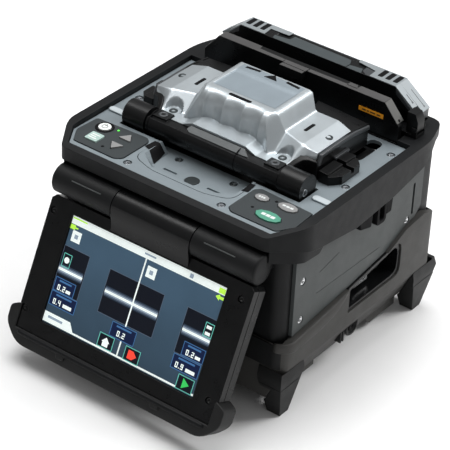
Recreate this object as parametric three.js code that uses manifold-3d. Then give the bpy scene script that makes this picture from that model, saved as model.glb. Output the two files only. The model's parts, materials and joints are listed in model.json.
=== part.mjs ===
// Fiber fusion splicer, standing on its four corner boots.
// Millimetres, +Z up, +Y towards the back, +X to the operator's right.
// Every height is measured from the ground plane under the boots.

import * as THREE from 'three';
import { mergeVertices } from 'three/addons/utils/BufferGeometryUtils.js';
import { ConvexGeometry } from 'three/addons/geometries/ConvexGeometry.js';
import Module from 'manifold-3d';

const wasm = await Module();
wasm.setup();

// ---------------------------------------------------------------- driving dimensions

const GAP = 0.3; // clearance between neighbouring pieces
const WALL = 3; // general moulding thickness

const BODY_HALF_WIDTH = 82; // outer face of the lower case ridge
const CORE_HALF_WIDTH = 77.5; // upper case, behind the side panels
const CORE_FRONT = -74.5;
const CORE_REAR = 72;
const CORE_BOTTOM = 34;
const CORE_TOP = 119;

const PANEL_TOP = 121.4; // upper face of the silver deck
const PANEL_THICKNESS = 2.4;
const PANEL_BOTTOM = PANEL_TOP - PANEL_THICKNESS;
const PANEL_HALF_WIDTH = 78;
const PANEL_FRONT = -79.5;
const PANEL_REAR = 41;

const RIM_HALF_WIDTH = 84.5;
const RIM_FRONT = -85;
const RIM_REAR = 76;
const RIM_TOP = 124.5;

const CASE_FLOOR = 8; // underside of the lower case
const RIDGE_BOTTOM = 33; // lower edge of the side ridge
const KEEL_HALF_WIDTH = 70; // the case slopes in below the ridge to this width
const KEEL_TOP = 10;

const SCREEN_AXIS_Y = -85; // hinge of the monitor
const SCREEN_AXIS_Z = 102;
const SCREEN_TILT = 25; // degrees out from hanging straight down
const SCREEN_FACE = -2.3; // face plane, in front of the hinge axis
const SCREEN_BACK = 9.2; // back plane, behind the hinge axis
const SCREEN_TOP = -10;
const SCREEN_BOTTOM = -99.5;
const SCREEN_HALF_WIDTH = 71;
const BUMPER_HALF_WIDTH = 76.5;
const BUMPER_TOP = -76.5;
const DISPLAY_WIDTH = 108.2;
const DISPLAY_HEIGHT = 64;
const DISPLAY_TOP = -17;
const SCREEN_BARREL_RADIUS = 9;
const SCREEN_BARREL_HALF = 27.3;

const COVER_AXIS_Y = -35; // hinge tube of the wind cover
const COVER_AXIS_Z = 125.5;
const COVER_TUBE_RADIUS = 7.4;
const COVER_CAP_RADIUS = 8.2;
const COVER_TOP = 150;
const WING_TOP = 139.8;

const FIBER_Y = -4; // the two fibers meet on this line
const FIBER_Z = 124;
const CHAMBER_FLOOR = 112;

const HEATER_FRONT = 42;
const HEATER_REAR = 73;
const HEATER_DECK = 122;
const HEATER_HALF_WIDTH = 69;

const KEY_TRAVEL = 0.8;
const KEY_FOOT = 117.6;
const KEYPAD_TOP = 121.9;

const SIDES = [['left', -1], ['right', 1]];

// ---------------------------------------------------------------- finishes

function finish(color, roughness, metalness = 0) {
  return { color, roughness, metalness };
}

const SILVER = finish(0x9fa8ad, 0.45, 0.3);
const BRIGHT_SILVER = finish(0xb9c0c4, 0.4, 0.4);
const CASE_BLACK = finish(0x2a2a2b, 0.6);
const CASE_GREY = finish(0x45423f, 0.65);
const RIM_RUBBER = finish(0x303335, 0.8);
const PANEL_GREY = finish(0x5f6466, 0.6);
const SATIN_BLACK = finish(0x161617, 0.45);
const BOOT_RUBBER = finish(0x242526, 0.85);
const SLATE = finish(0x4a4f52, 0.55);
const STEEL = finish(0xa8a9ab, 0.3, 0.9);
const DARK_MAGNET = finish(0x36393b, 0.4, 0.5);
const GLASS = finish(0x2a3a48, 0.08);
const BOARD_GREEN = finish(0x1c5a38, 0.5);
const CERAMIC = finish(0xe6e2d8, 0.3);
const KEY_WHITE = finish(0xe9ece9, 0.4);
const KEY_TEAL = finish(0xa9c4bb, 0.5);
const KEY_GREY = finish(0x9b9b9b, 0.5);
const KEY_GREEN = finish(0x4fae8a, 0.45);

// ---------------------------------------------------------------- helpers

// Turns a closed three.js geometry into a solid that can be joined and cut.
function solid(geometry) {
  const bare = new THREE.BufferGeometry();
  bare.setAttribute('position', geometry.getAttribute('position').clone());
  if (geometry.index) bare.setIndex(geometry.index.clone());
  const merged = mergeVertices(bare, 1e-3);
  const mesh = new wasm.Mesh({
    numProp: 3,
    vertProperties: Float32Array.from(merged.getAttribute('position').array),
    triVerts: Uint32Array.from(merged.index.array),
  });
  return new wasm.Manifold(mesh);
}

// Gives a solid back as a named mesh with its own material.
function mesh(name, body, look) {
  const data = body.getMesh();
  const geometry = new THREE.BufferGeometry();
  const numbers = data.numProp;
  const points = new Float32Array((data.vertProperties.length / numbers) * 3);
  for (let i = 0; i < points.length / 3; i += 1) {
    for (let k = 0; k < 3; k += 1) points[3 * i + k] = data.vertProperties[numbers * i + k];
  }
  geometry.setAttribute('position', new THREE.BufferAttribute(points, 3));
  geometry.setIndex(new THREE.BufferAttribute(Uint32Array.from(data.triVerts), 1));
  const flat = geometry.toNonIndexed();
  flat.computeVertexNormals();
  const made = new THREE.Mesh(flat, new THREE.MeshStandardMaterial(look));
  made.name = name;
  return made;
}

function join(first, ...others) {
  return others.reduce((whole, next) => whole.add(next), first);
}

function cut(first, ...others) {
  return others.reduce((whole, next) => whole.subtract(next), first);
}

// A box between two corners.
function block(x0, x1, y0, y1, z0, z1) {
  const box = new THREE.BoxGeometry(x1 - x0, y1 - y0, z1 - z0);
  box.translate((x0 + x1) / 2, (y0 + y1) / 2, (z0 + z1) / 2);
  return solid(box);
}

// Closed outline with its corners rounded by one radius, or by a radius given as a third number.
function outline(points, radius = 0) {
  const shape = new THREE.Shape();
  const count = points.length;
  points.forEach((point, index) => {
    const corner = new THREE.Vector2(point[0], point[1]);
    const round = point[2] ?? radius;
    const before = new THREE.Vector2(...points[(index + count - 1) % count]).sub(corner).normalize();
    const after = new THREE.Vector2(...points[(index + 1) % count]).sub(corner).normalize();
    const start = corner.clone().addScaledVector(before, round);
    const end = corner.clone().addScaledVector(after, round);
    if (index === 0) shape.moveTo(start.x, start.y);
    else shape.lineTo(start.x, start.y);
    if (round > 0) shape.quadraticCurveTo(corner.x, corner.y, end.x, end.y);
  });
  shape.closePath();
  return shape;
}

// Points of the right half, front to back, with their mirror image on the left.
function mirrored(points) {
  const left = points.map(([x, y, round]) => [-x, y, round]).reverse();
  return [...points, ...left];
}

function extrude(shape, depth, steps) {
  return new THREE.ExtrudeGeometry(shape, { depth, bevelEnabled: false, curveSegments: steps });
}

// Prism of an (x, y) outline between two heights.
function prismZ(shape, z0, z1, steps = 4) {
  const geometry = extrude(shape, z1 - z0, steps);
  geometry.translate(0, 0, z0);
  return solid(geometry);
}

// Prism of a (y, z) outline between two x values.
function prismX(shape, x0, x1, steps = 4) {
  const geometry = extrude(shape, x1 - x0, steps);
  const turn = new THREE.Matrix4().makeBasis(
    new THREE.Vector3(0, 1, 0),
    new THREE.Vector3(0, 0, 1),
    new THREE.Vector3(1, 0, 0),
  );
  geometry.applyMatrix4(turn);
  geometry.translate(x0, 0, 0);
  return solid(geometry);
}

// Prism of an (x, z) outline between two y values.
function prismY(shape, y0, y1, steps = 4) {
  const geometry = extrude(shape, y1 - y0, steps);
  geometry.rotateX(Math.PI / 2);
  geometry.translate(0, y1, 0);
  return solid(geometry);
}

// Rod between two x values, or along any other axis through rodAlong.
function rodX(x0, x1, y, z, radius, sides = 20) {
  return rodAlong([x0, y, z], [x1, y, z], radius, radius, sides);
}

function rodAlong(from, to, radiusFrom, radiusTo, sides = 16) {
  const start = new THREE.Vector3(...from);
  const end = new THREE.Vector3(...to);
  const length = start.distanceTo(end);
  const geometry = new THREE.CylinderGeometry(radiusTo, radiusFrom, length, sides);
  const direction = end.clone().sub(start).normalize();
  const turn = new THREE.Quaternion().setFromUnitVectors(new THREE.Vector3(0, 1, 0), direction);
  geometry.applyQuaternion(turn);
  const middle = start.add(end).multiplyScalar(0.5);
  geometry.translate(middle.x, middle.y, middle.z);
  return solid(geometry);
}

// Convex solid around a set of corners.
function hull(points) {
  return solid(new ConvexGeometry(points.map((point) => new THREE.Vector3(...point))));
}

// The corners of a rectangle at one height, for hull.
function level(halfWidth, y0, y1, z) {
  return [[-halfWidth, y0, z], [halfWidth, y0, z], [-halfWidth, y1, z], [halfWidth, y1, z]];
}

// Slot with round ends, long way along x or y.
function slot(x, y, length, width, z0, z1, alongY = false) {
  const halfLength = length / 2;
  const halfWidth = width / 2;
  const a = alongY ? halfWidth : halfLength;
  const b = alongY ? halfLength : halfWidth;
  const corners = [[x - a, y - b], [x + a, y - b], [x + a, y + b], [x - a, y + b]];
  return prismZ(outline(corners, halfWidth * 0.98), z0, z1, 3);
}

const splicer = new THREE.Group();

function put(name, body, look, group = splicer) {
  group.add(mesh(name, body, look));
}

// ---------------------------------------------------------------- lower case

// Side view of the lower case; its ridge climbs towards the back.
const CASE_SIDE = [
  [-76, CASE_FLOOR + 4], [-72, CASE_FLOOR], [69, CASE_FLOOR], [74, CASE_FLOOR + 6], [74, 66],
  [60, 72], [41, 70], [22, 62], [-13, 57], [-67, 51.5], [-76, 49],
];

// Front view: upright sides down to the ridge's lower edge, then a slope in to the keel.
function caseFront(grow) {
  return mirrored([
    [KEEL_HALF_WIDTH - 2 + grow, CASE_FLOOR - grow], [KEEL_HALF_WIDTH + grow, KEEL_TOP],
    [BODY_HALF_WIDTH + grow, RIDGE_BOTTOM], [BODY_HALF_WIDTH + grow, 80],
  ]);
}

const CASE_OUTLINE = mirrored([[BODY_HALF_WIDTH, -76, 9], [BODY_HALF_WIDTH, 74, 9]]);

// The port recess is open at its top, where the side panel's lower edge closes it.
const PORT = { front: -15, back: 37, bottom: 41, frontTop: 57.4, middle: 22, middleTop: 62.2, backTop: 65 };

function portOpening(grow, x0, x1) {
  const corners = [
    [PORT.front - grow, PORT.bottom - grow, 1], [PORT.back + grow, PORT.bottom - grow, 6],
    [PORT.back + grow, PORT.backTop + grow, 7], [PORT.middle, PORT.middleTop + grow, 1],
    [PORT.front - grow, PORT.frontTop + grow, 1],
  ];
  return prismX(outline(corners), x0, x1, 3);
}

const BATTERY = { halfWidth: 40, front: 2, bottom: 11.4, top: 42 };

function batteryMouth() {
  const { halfWidth, bottom, top } = BATTERY;
  return block(-halfWidth - 0.5, halfWidth + 0.5, 60, 80, bottom - GAP, top + GAP);
}

function lowerCase() {
  const shell = prismZ(outline(CASE_OUTLINE), CASE_FLOOR, 75)
    .intersect(prismX(outline(CASE_SIDE), -BODY_HALF_WIDTH, BODY_HALF_WIDTH))
    .intersect(prismY(outline(caseFront(0)), -80, 80));
  const upperHollow = block(-CORE_HALF_WIDTH - GAP, CORE_HALF_WIDTH + GAP, CORE_FRONT - GAP,
    CORE_REAR + GAP, CORE_BOTTOM, 80);
  const lowerHollow = block(-KEEL_HALF_WIDTH + WALL, KEEL_HALF_WIDTH - WALL, -72, 70, CASE_FLOOR + WALL,
    CORE_BOTTOM + 1);
  const vents = [-30, -20, -10].map((y) => slot(0, y, 60, 4, 0, 20));
  const posts = [[-60, -50], [60, -50], [-60, 40], [60, 40]].map(([x, y]) => (
    block(x - 3, x + 3, y - 3, y + 3, CASE_FLOOR + 1, 60)
  ));
  const bay = SIDES.map(([, side]) => {
    const inner = side * (BATTERY.halfWidth + 0.5);
    const outer = side * (BATTERY.halfWidth + 3);
    return block(Math.min(inner, outer), Math.max(inner, outer), BATTERY.front, CORE_REAR - WALL - GAP, 10, 44);
  });
  const rails = SIDES.map(([, side]) => baseRail(side));
  return join(cut(shell, upperHollow, lowerHollow, ...vents), ...posts, ...bay, ...rails)
    .subtract(portOpening(0, 60, 90))
    .subtract(batteryMouth());
}

// Rail under each side with two hooks for the carrying tray.
function baseRail(side) {
  const inner = side * 64;
  const outer = side * (KEEL_HALF_WIDTH - 0.5);
  const profile = outline([
    [-46, 6], [-27, 6], [-27, 9.5], [24, 9.5], [30, 4], [56, 4], [56, 10.5], [-48, 10.5],
  ]);
  return prismX(profile, Math.min(inner, outer), Math.max(inner, outer));
}

put('lower_case', lowerCase(), CASE_GREY);

// ---------------------------------------------------------------- upper case

function coreOutline(inset) {
  const round = Math.max(9 - inset, 1);
  return mirrored([
    [CORE_HALF_WIDTH - inset, CORE_FRONT + inset, round],
    [CORE_HALF_WIDTH - inset, CORE_REAR - inset, 6],
  ]);
}

function barrel(side) {
  const inner = side * (SCREEN_BARREL_HALF + 0.5);
  const outer = side * 70;
  const x0 = Math.min(inner, outer);
  const x1 = Math.max(inner, outer);
  const round = rodX(x0, x1, SCREEN_AXIS_Y, SCREEN_AXIS_Z, SCREEN_BARREL_RADIUS, 28);
  const web = block(x0, x1, SCREEN_AXIS_Y, CORE_FRONT + 1, SCREEN_AXIS_Z - 4, SCREEN_AXIS_Z + 8.9);
  return round.add(web);
}

function upperCase() {
  const outer = prismZ(outline(coreOutline(0)), CORE_BOTTOM, CORE_TOP);
  const inner = prismZ(outline(coreOutline(WALL)), CORE_BOTTOM - 1, CORE_TOP + 1);
  const pin = rodX(-80, 80, SCREEN_AXIS_Y, SCREEN_AXIS_Z, 3 + GAP, 16);
  const rearVents = [-50, -44, -38, 38, 44, 50].map((x) => block(x - 1.5, x + 1.5, 60, 80, 84, 104));
  return join(cut(outer, inner), barrel(-1), barrel(1))
    .subtract(pin)
    .subtract(portOpening(0, 60, 90))
    .subtract(batteryMouth())
    .subtract(join(...rearVents));
}

put('upper_case', upperCase(), CASE_BLACK);

put('monitor_hinge_pin', rodX(-66, 66, SCREEN_AXIS_Y, SCREEN_AXIS_Z, 3, 16), STEEL);

// ---------------------------------------------------------------- top rim

const SKIRT_EDGE = [[-86, 113.6], [-79, 112], [-55, 106], [-18, 101], [20, 104], [49.5, 109.6], [64, 118]];

const RIM_OUTER = mirrored([
  [71, RIM_FRONT, 3], [RIM_HALF_WIDTH, -64, 6], [RIM_HALF_WIDTH, 54, 8], [77, RIM_REAR, 6],
]);

function panelOutline(grow) {
  return mirrored([
    [70 + grow * 0.6, PANEL_FRONT - grow], [PANEL_HALF_WIDTH + grow, -66 - grow * 0.6],
    [PANEL_HALF_WIDTH + grow, PANEL_REAR + grow],
  ]);
}

function topRim() {
  const outer = prismZ(outline(RIM_OUTER), 100, RIM_TOP);
  const side = outline([
    ...SKIRT_EDGE, [78, 118], [78, RIM_TOP], [-60, RIM_TOP], [-86, 121.8],
  ]);
  const deckOpening = prismZ(outline(panelOutline(GAP)), 90, 130);
  const heaterOpening = block(-HEATER_HALF_WIDTH - GAP, HEATER_HALF_WIDTH + GAP, 30,
    HEATER_REAR + GAP, 90, 130);
  const coreRoom = prismZ(outline(coreOutline(-GAP)), 90, CORE_TOP + GAP);
  const rim = outer.intersect(prismX(side, -90, 90));
  return join(rim, cornerLip(-1), cornerLip(1)).subtract(deckOpening).subtract(heaterOpening)
    .subtract(coreRoom);
}

// Lower lip of the rim, wrapped round each front corner outside the side panel.
const LIP_HALF_WIDTH = RIM_HALF_WIDTH - 1.8;

function cornerLip(side) {
  const shape = prismZ(outline([
    [71.5, RIM_FRONT + 3], [LIP_HALF_WIDTH, -66, 5], [LIP_HALF_WIDTH, -44], [80.1, -44], [80.1, -67.4],
    [71.5, -73],
  ]), 95, 115);
  const profile = outline([[-84, 105], [-79, 104], [-64, 101], [-50, 100], [-44, 106], [-44, 112], [-84, 115]], 1);
  const piece = shape.intersect(prismX(profile, 60, 90));
  return side > 0 ? piece : piece.mirror([1, 0, 0]);
}

put('top_rim', topRim(), RIM_RUBBER);

// ---------------------------------------------------------------- silver deck panel and keypads

function keypadOutline(side, grow) {
  const corners = [
    [70.2, -75.3 - grow], [76.3 + grow, -65.2], [75.3 + grow, -48.5 + grow], [39.9, -46.6 + grow],
    [36.9 - grow, -50], [36.9 - grow, -72.5], [40.6, -75.5 - grow],
  ];
  const placed = corners.map(([x, y]) => [side * x, y]);
  return outline(side > 0 ? placed : placed.reverse(), 1.5);
}

const TRAY_HALF_WIDTH = 34;
const TRAY_FRONT = -71;
const TRAY_REAR = -38; // the tray runs back under the hinge tube
const TRAY_FLOOR = 115;
const SCREW_RADIUS = 2.5;

const DECK_SCREWS = [[32.6, -73.4], [72.7, -14.3], [72.7, 30.3]];
const TRAY_SCREW = [19.1, -44.3];

function trayOutline(inset, rear = TRAY_REAR) {
  return mirrored([
    [18, TRAY_FRONT + inset, 4],
    [TRAY_HALF_WIDTH - inset, -66 + inset, 6],
    [TRAY_HALF_WIDTH - inset, rear],
  ]);
}

function screwSeat(x, y, top, depth = 1.4) {
  return rodAlong([x, y, top - depth], [x, y, top + 1], SCREW_RADIUS, SCREW_RADIUS, 16);
}

const TUBE_SLOT_FRONT = -43.8;

// The splice chamber opening, with the wider slot that the hinge tube lies in.
function chamberOpening(z0, z1) {
  const chamber = block(-57, 57, -27, 30, z0, z1);
  const tubeSlot = block(-63, 63, TUBE_SLOT_FRONT, -26, z0, z1);
  return chamber.add(tubeSlot);
}

function topPanel() {
  const plate = prismZ(outline(panelOutline(0)), PANEL_BOTTOM, PANEL_TOP);
  const tray = prismZ(outline(trayOutline(0)), PANEL_BOTTOM - 1, PANEL_TOP + 1);
  const cutouts = [chamberOpening(PANEL_BOTTOM - 1, PANEL_TOP + 1), tray];
  for (const [, side] of SIDES) {
    cutouts.push(prismZ(keypadOutline(side, GAP), PANEL_BOTTOM - 1, PANEL_TOP + 1));
    const oval = side * 59;
    cutouts.push(slot(oval, 25, 26, 9, PANEL_BOTTOM - 1, PANEL_TOP + 1, true));
  }
  for (const [x, y] of DECK_SCREWS) cutouts.push(screwSeat(x, y, PANEL_TOP), screwSeat(-x, y, PANEL_TOP));
  const pills = SIDES.map(([, side]) => slot(side * 71.5, -35, 12, 5, PANEL_TOP - 0.5, PANEL_TOP + 1));
  return join(cut(plate, ...cutouts), ...pills);
}

put('top_panel', topPanel(), SILVER);

// Each key is a foot under the keypad plate and a shaped head that stands through it.
const KEYS = [
  { name: 'power_key', side: -1, shape: 'round', x: -65.3, y: -53.9, size: 3.9, look: KEY_WHITE },
  { name: 'menu_key', side: -1, shape: 'square', x: -62.8, y: -65.9, size: 4.2, look: KEY_TEAL },
  { name: 'up_key', side: -1, shape: 'up', x: -48.2, y: -54.1, size: 4.2, look: KEY_GREY },
  { name: 'down_key', side: -1, shape: 'down', x: -48.2, y: -66.3, size: 4.2, look: KEY_GREY },
  { name: 'small_oval_key', side: 1, shape: 'oval', x: 45.8, y: -54.4, size: 4.4, look: KEY_GREY },
  { name: 'reset_key', side: 1, shape: 'oval', x: 62.2, y: -53.2, size: 6.2, look: KEY_GREY },
  { name: 'set_key', side: 1, shape: 'oval', x: 59.2, y: -67.0, size: 8.2, look: KEY_GREEN },
];

function keyShape(key, grow) {
  const { x, y } = key;
  const size = key.size + grow;
  if (key.shape === 'round') {
    const circle = new THREE.Shape();
    circle.absarc(x, y, size, 0, Math.PI * 2);
    return circle;
  }
  if (key.shape === 'square') {
    return outline([[x - size, y - size], [x + size, y - size], [x + size, y + size], [x - size, y + size]], 1);
  }
  if (key.shape === 'oval') {
    const oval = new THREE.Shape();
    oval.absellipse(x, y, size, size * 0.34 + 1.6, 0, Math.PI * 2);
    return oval;
  }
  const tip = key.shape === 'up' ? 1 : -1;
  const corners = [[x - size, y - tip * 3.2], [x + size, y - tip * 3.2], [x, y + tip * (3 + grow * 2)]];
  return outline(tip > 0 ? corners : corners.reverse(), 0.8);
}

function keypadPlate(side) {
  const plate = prismZ(keypadOutline(side, 0), PANEL_BOTTOM, KEYPAD_TOP);
  const holes = KEYS.filter((key) => key.side === side)
    .map((key) => prismZ(keyShape(key, GAP), PANEL_BOTTOM - 1, KEYPAD_TOP + 1, 5));
  return cut(plate, ...holes);
}

for (const [label, side] of SIDES) put(`keypad_plate_${label}`, keypadPlate(side), SLATE);

for (const key of KEYS) {
  const head = prismZ(keyShape(key, 0), KEY_FOOT, KEYPAD_TOP + KEY_TRAVEL, 5);
  put(key.name, head, key.look);
}

// ---------------------------------------------------------------- front tray

function frontTray() {
  const outer = prismZ(outline(trayOutline(GAP, TRAY_REAR + GAP)), 112.5, PANEL_TOP);
  const lip = TRAY_HALF_WIDTH - 1.5;
  const floor = TRAY_HALF_WIDTH - 6.5;
  const hollow = hull([
    ...level(lip, -60, TRAY_REAR + 5, PANEL_TOP + 1), ...level(floor, -58, TRAY_REAR + 5, TRAY_FLOOR),
    [-20, TRAY_FRONT + 2, PANEL_TOP + 1], [20, TRAY_FRONT + 2, PANEL_TOP + 1],
    [-17, TRAY_FRONT + 7, TRAY_FLOOR], [17, TRAY_FRONT + 7, TRAY_FLOOR],
  ]);
  const tubeRoom = block(-40, 40, TUBE_SLOT_FRONT + GAP, -30, TRAY_FLOOR, 130);
  const slots = [-15.3, 15.3].map((x) => slot(x, -57.1, 9.5, 1.6, TRAY_FLOOR - 1, TRAY_FLOOR + 1));
  const magnetSeat = rodAlong([0, -57, TRAY_FLOOR - 1], [0, -57, TRAY_FLOOR + 1], 4.5, 4.5, 20);
  const seats = [-1, 1].map((side) => screwSeat(side * TRAY_SCREW[0], TRAY_SCREW[1], TRAY_FLOOR, 1.2));
  return cut(outer, hollow, tubeRoom, ...slots, magnetSeat, ...seats);
}

put('front_tray', frontTray(), SILVER);
put('tray_magnet', rodAlong([0, -57, TRAY_FLOOR - 1], [0, -57, TRAY_FLOOR + 0.4], 4.2, 4.2, 20), DARK_MAGNET);

// ---------------------------------------------------------------- side panels

const SIDE_SCREWS = [[-59.4, 85.3], [-59.4, 59.7], [43.3, 73.9], [43.3, 104]];

function sidePanel(side) {
  const clearance = 0.6;
  const top = SKIRT_EDGE.slice(1, 6).map(([y, z]) => [y, z - clearance]).reverse();
  const profile = outline([
    [-67, 51.5 + clearance], [-13, 57 + clearance], [22, 62 + clearance], [41, 70 + clearance], [52, 73],
    [57, 78], [57, 113], ...top.slice(0, 4), [-67, 108],
  ], 0.8);
  const plate = prismX(profile, CORE_HALF_WIDTH, CORE_HALF_WIDTH + 2.3, 2);
  const strapSlot = prismX(outline([[47, 76], [49, 76], [49, 97], [47, 97]]), 70, 90);
  const seats = SIDE_SCREWS.map(([y, z]) => (
    rodX(CORE_HALF_WIDTH + 0.8, 90, y, z, SCREW_RADIUS, 16)
  ));
  const piece = cut(plate, strapSlot, ...seats);
  return side > 0 ? piece : piece.mirror([1, 0, 0]);
}

for (const [label, side] of SIDES) put(`side_panel_${label}`, sidePanel(side), PANEL_GREY);

// ---------------------------------------------------------------- corner boots

// A boot fills the corner under the ridge, bulges past the end of the case and tapers to the ground.
const BOOT_TOP = RIDGE_BOTTOM - GAP;

function bootLevel(innerX, outerX, innerY, outerY, z) {
  return [[innerX, innerY, z], [outerX, innerY, z], [innerX, outerY, z], [outerX, outerY, z]];
}

function boot(side, end) {
  const corner = end < 0 ? -76 : 74;
  const inner = corner - end * 20;
  const bulge = end < 0 ? 2 : 4.6;
  const upper = hull([
    ...bootLevel(66, 81.6, inner, corner + end * (bulge - 1.6), BOOT_TOP),
    ...bootLevel(66, 82.6, inner, corner + end * bulge, 27),
    ...bootLevel(66, 81.4, inner + end * 2, corner + end * (bulge - 1.6), 20),
  ]);
  const leg = hull([
    ...bootLevel(67, 81.8, inner + end * 2, corner + end * (bulge - 1.2), 21),
    ...bootLevel(69, 81, inner + end * 4, corner + end * (bulge - 3), 16),
    ...bootLevel(70, 79, inner + end * 8, corner - end * 4, 0),
  ]);
  const caseRoom = prismY(outline(caseFront(GAP)), -76 - GAP, 74 + GAP);
  const piece = cut(join(upper, leg), caseRoom);
  return side > 0 ? piece : piece.mirror([1, 0, 0]);
}

for (const [label, side] of SIDES) {
  put(`front_boot_${label}`, boot(side, -1), BOOT_RUBBER);
  put(`rear_boot_${label}`, boot(side, 1), BOOT_RUBBER);
}

// ---------------------------------------------------------------- ports

// Open tray in the port recess; its back wall holds the sockets.
const PORT_BACK = 70;

function portPanel() {
  const outer = portOpening(-GAP, PORT_BACK - 2, 81);
  const hollow = portOpening(-2.2, PORT_BACK, 90);
  const usbHole = block(60, 90, 1, 14.2, 46.3, 52.7);
  const jackHole = rodX(60, 90, 24, 52.5, 4.8, 20);
  return cut(outer, hollow, usbHole, jackHole);
}

function usbPort() {
  const shell = block(PORT_BACK - 12, PORT_BACK + 4, 1.3, 13.9, 46.6, 52.4);
  const mouth = block(PORT_BACK - 8, PORT_BACK + 5, 2.3, 12.9, 47.6, 51.4);
  const tongue = block(PORT_BACK - 10, PORT_BACK + 3, 3.5, 11.7, 48.8, 50.2);
  return shell.subtract(mouth).add(tongue);
}

function powerJack() {
  const shell = rodX(PORT_BACK - 12, PORT_BACK + 4, 24, 52.5, 4.5, 20);
  const mouth = rodX(PORT_BACK - 8, PORT_BACK + 5, 24, 52.5, 3.2, 16);
  const centrePin = rodX(PORT_BACK - 10, PORT_BACK + 3, 24, 52.5, 1, 10);
  return shell.subtract(mouth).add(centrePin);
}

put('port_panel', portPanel(), SATIN_BLACK);
put('usb_port', usbPort(), STEEL);
put('power_jack', powerJack(), SATIN_BLACK);

// ---------------------------------------------------------------- splice chamber

// Sunken deck under the cover that carries the fiber stages.
const LENS_DIRECTION = Math.SQRT1_2;

function alongLens(end, distance) {
  return [0, FIBER_Y + end * LENS_DIRECTION * distance, FIBER_Z - LENS_DIRECTION * distance];
}

function chamberDeck() {
  const outer = block(-66, 66, TUBE_SLOT_FRONT - 1, 32, CHAMBER_FLOOR - 3, PANEL_BOTTOM);
  const trayRoom = block(-TRAY_HALF_WIDTH - GAP, TRAY_HALF_WIDTH + GAP, -60, TRAY_REAR + 2 * GAP, 100, 130);
  const chamber = block(-57, 57, -27, 30, CHAMBER_FLOOR, PANEL_TOP);
  const tubeRoom = block(-63, 63, TUBE_SLOT_FRONT, -26, CHAMBER_FLOOR, PANEL_TOP);
  const lensHoles = [-1, 1].map((end) => rodAlong(alongLens(end, 10), alongLens(end, 40), 7.5, 7.5, 16));
  const holders = [
    block(-6, 6, FIBER_Y - 22, FIBER_Y - 15, CHAMBER_FLOOR, FIBER_Z + 3),
    block(-6, 6, FIBER_Y + 15, FIBER_Y + 22, CHAMBER_FLOOR, FIBER_Z + 3),
  ];
  const rodHoles = rodAlong([0, FIBER_Y - 30, FIBER_Z], [0, FIBER_Y + 30, FIBER_Z], 1.3, 1.3, 12);
  return join(cut(outer, chamber, tubeRoom, trayRoom), ...holders).subtract(rodHoles)
    .subtract(join(...lensHoles));
}

put('chamber_deck', chamberDeck(), SATIN_BLACK);

const LID_PIN_Y = FIBER_Y + 9.5;
const LID_PIN_Z = FIBER_Z + 2.5;
const LID_PIN_RADIUS = 0.7;

// Grooved stage that holds one fiber; the ceramic V-groove is at its inner end.
function fiberStage(side) {
  const base = block(16, 42, FIBER_Y - 8, FIBER_Y + 11, CHAMBER_FLOOR, FIBER_Z - 0.5);
  const nose = block(3.2, 17, FIBER_Y - 3, FIBER_Y + 3, CHAMBER_FLOOR + 3, FIBER_Z);
  const groove = prismX(outline([
    [FIBER_Y - 0.8, FIBER_Z + 1], [FIBER_Y, FIBER_Z - 0.6], [FIBER_Y + 0.8, FIBER_Z + 1],
  ]), 0, 50);
  const lidHinge = block(22, 36, LID_PIN_Y - 1.25, LID_PIN_Y + 1.25, FIBER_Z - 1, LID_PIN_Z + 1.25);
  const pinHole = rodX(10, 50, LID_PIN_Y, LID_PIN_Z, LID_PIN_RADIUS + 0.1, 12);
  const piece = join(base, nose).subtract(groove).add(lidHinge).subtract(pinHole);
  return side > 0 ? piece : piece.mirror([1, 0, 0]);
}

// Lid that presses the fiber's coating into its groove.
function sheathClamp(side) {
  const lid = block(18, 40, FIBER_Y - 8, FIBER_Y + 7.6, FIBER_Z, FIBER_Z + 5);
  const ears = [[18, 21.7], [36.3, 40]].map(([x0, x1]) => (
    block(x0, x1, FIBER_Y + 7, LID_PIN_Y + 2, FIBER_Z + 0.6, FIBER_Z + 5)
  ));
  const room = block(10, 44, FIBER_Y - 2, FIBER_Y + 2, FIBER_Z - 1, FIBER_Z + 0.4);
  const pin = rodX(20, 38, LID_PIN_Y, LID_PIN_Z, LID_PIN_RADIUS, 12);
  const piece = join(lid, ...ears, pin).subtract(room);
  return side > 0 ? piece : piece.mirror([1, 0, 0]);
}

for (const [label, side] of SIDES) {
  put(`fiber_stage_${label}`, fiberStage(side), CERAMIC);
  put(`sheath_clamp_${label}`, sheathClamp(side), SATIN_BLACK);
}

// Electrode rods point at the place where the fibers meet.
function electrode(end) {
  const tip = rodAlong([0, FIBER_Y + end * 1.2, FIBER_Z], [0, FIBER_Y + end * 5, FIBER_Z], 0.15, 1, 12);
  const rod = rodAlong([0, FIBER_Y + end * 5, FIBER_Z], [0, FIBER_Y + end * 23, FIBER_Z], 1, 1, 12);
  return tip.add(rod);
}

function microscope(end) {
  const nose = rodAlong(alongLens(end, 11), alongLens(end, 17), 3, 7, 16);
  const tube = rodAlong(alongLens(end, 17), alongLens(end, 46), 7, 7, 16);
  const camera = rodAlong(alongLens(end, 44), alongLens(end, 54), 10, 10, 12);
  return join(nose, tube, camera);
}

for (const [label, end] of [['front', -1], ['rear', 1]]) {
  put(`electrode_${label}`, electrode(end), STEEL);
  put(`microscope_${label}`, microscope(end), SATIN_BLACK);
}

// Block beside the chamber with the notch that the fiber enters by.
function fiberRest(side) {
  const base = prismZ(outline([
    [58.2, -20], [65, -20], [70, -14], [70, 3], [66, 7], [58.2, 7],
  ]), PANEL_TOP, FIBER_Z + 4.5);
  const notch = block(50, 80, FIBER_Y - 1.4, FIBER_Y + 1.4, FIBER_Z, FIBER_Z + 10);
  const step = block(64.5, 80, -30, 20, FIBER_Z + 2.8, FIBER_Z + 10);
  const piece = cut(base, notch, step);
  return side > 0 ? piece : piece.mirror([1, 0, 0]);
}

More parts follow.
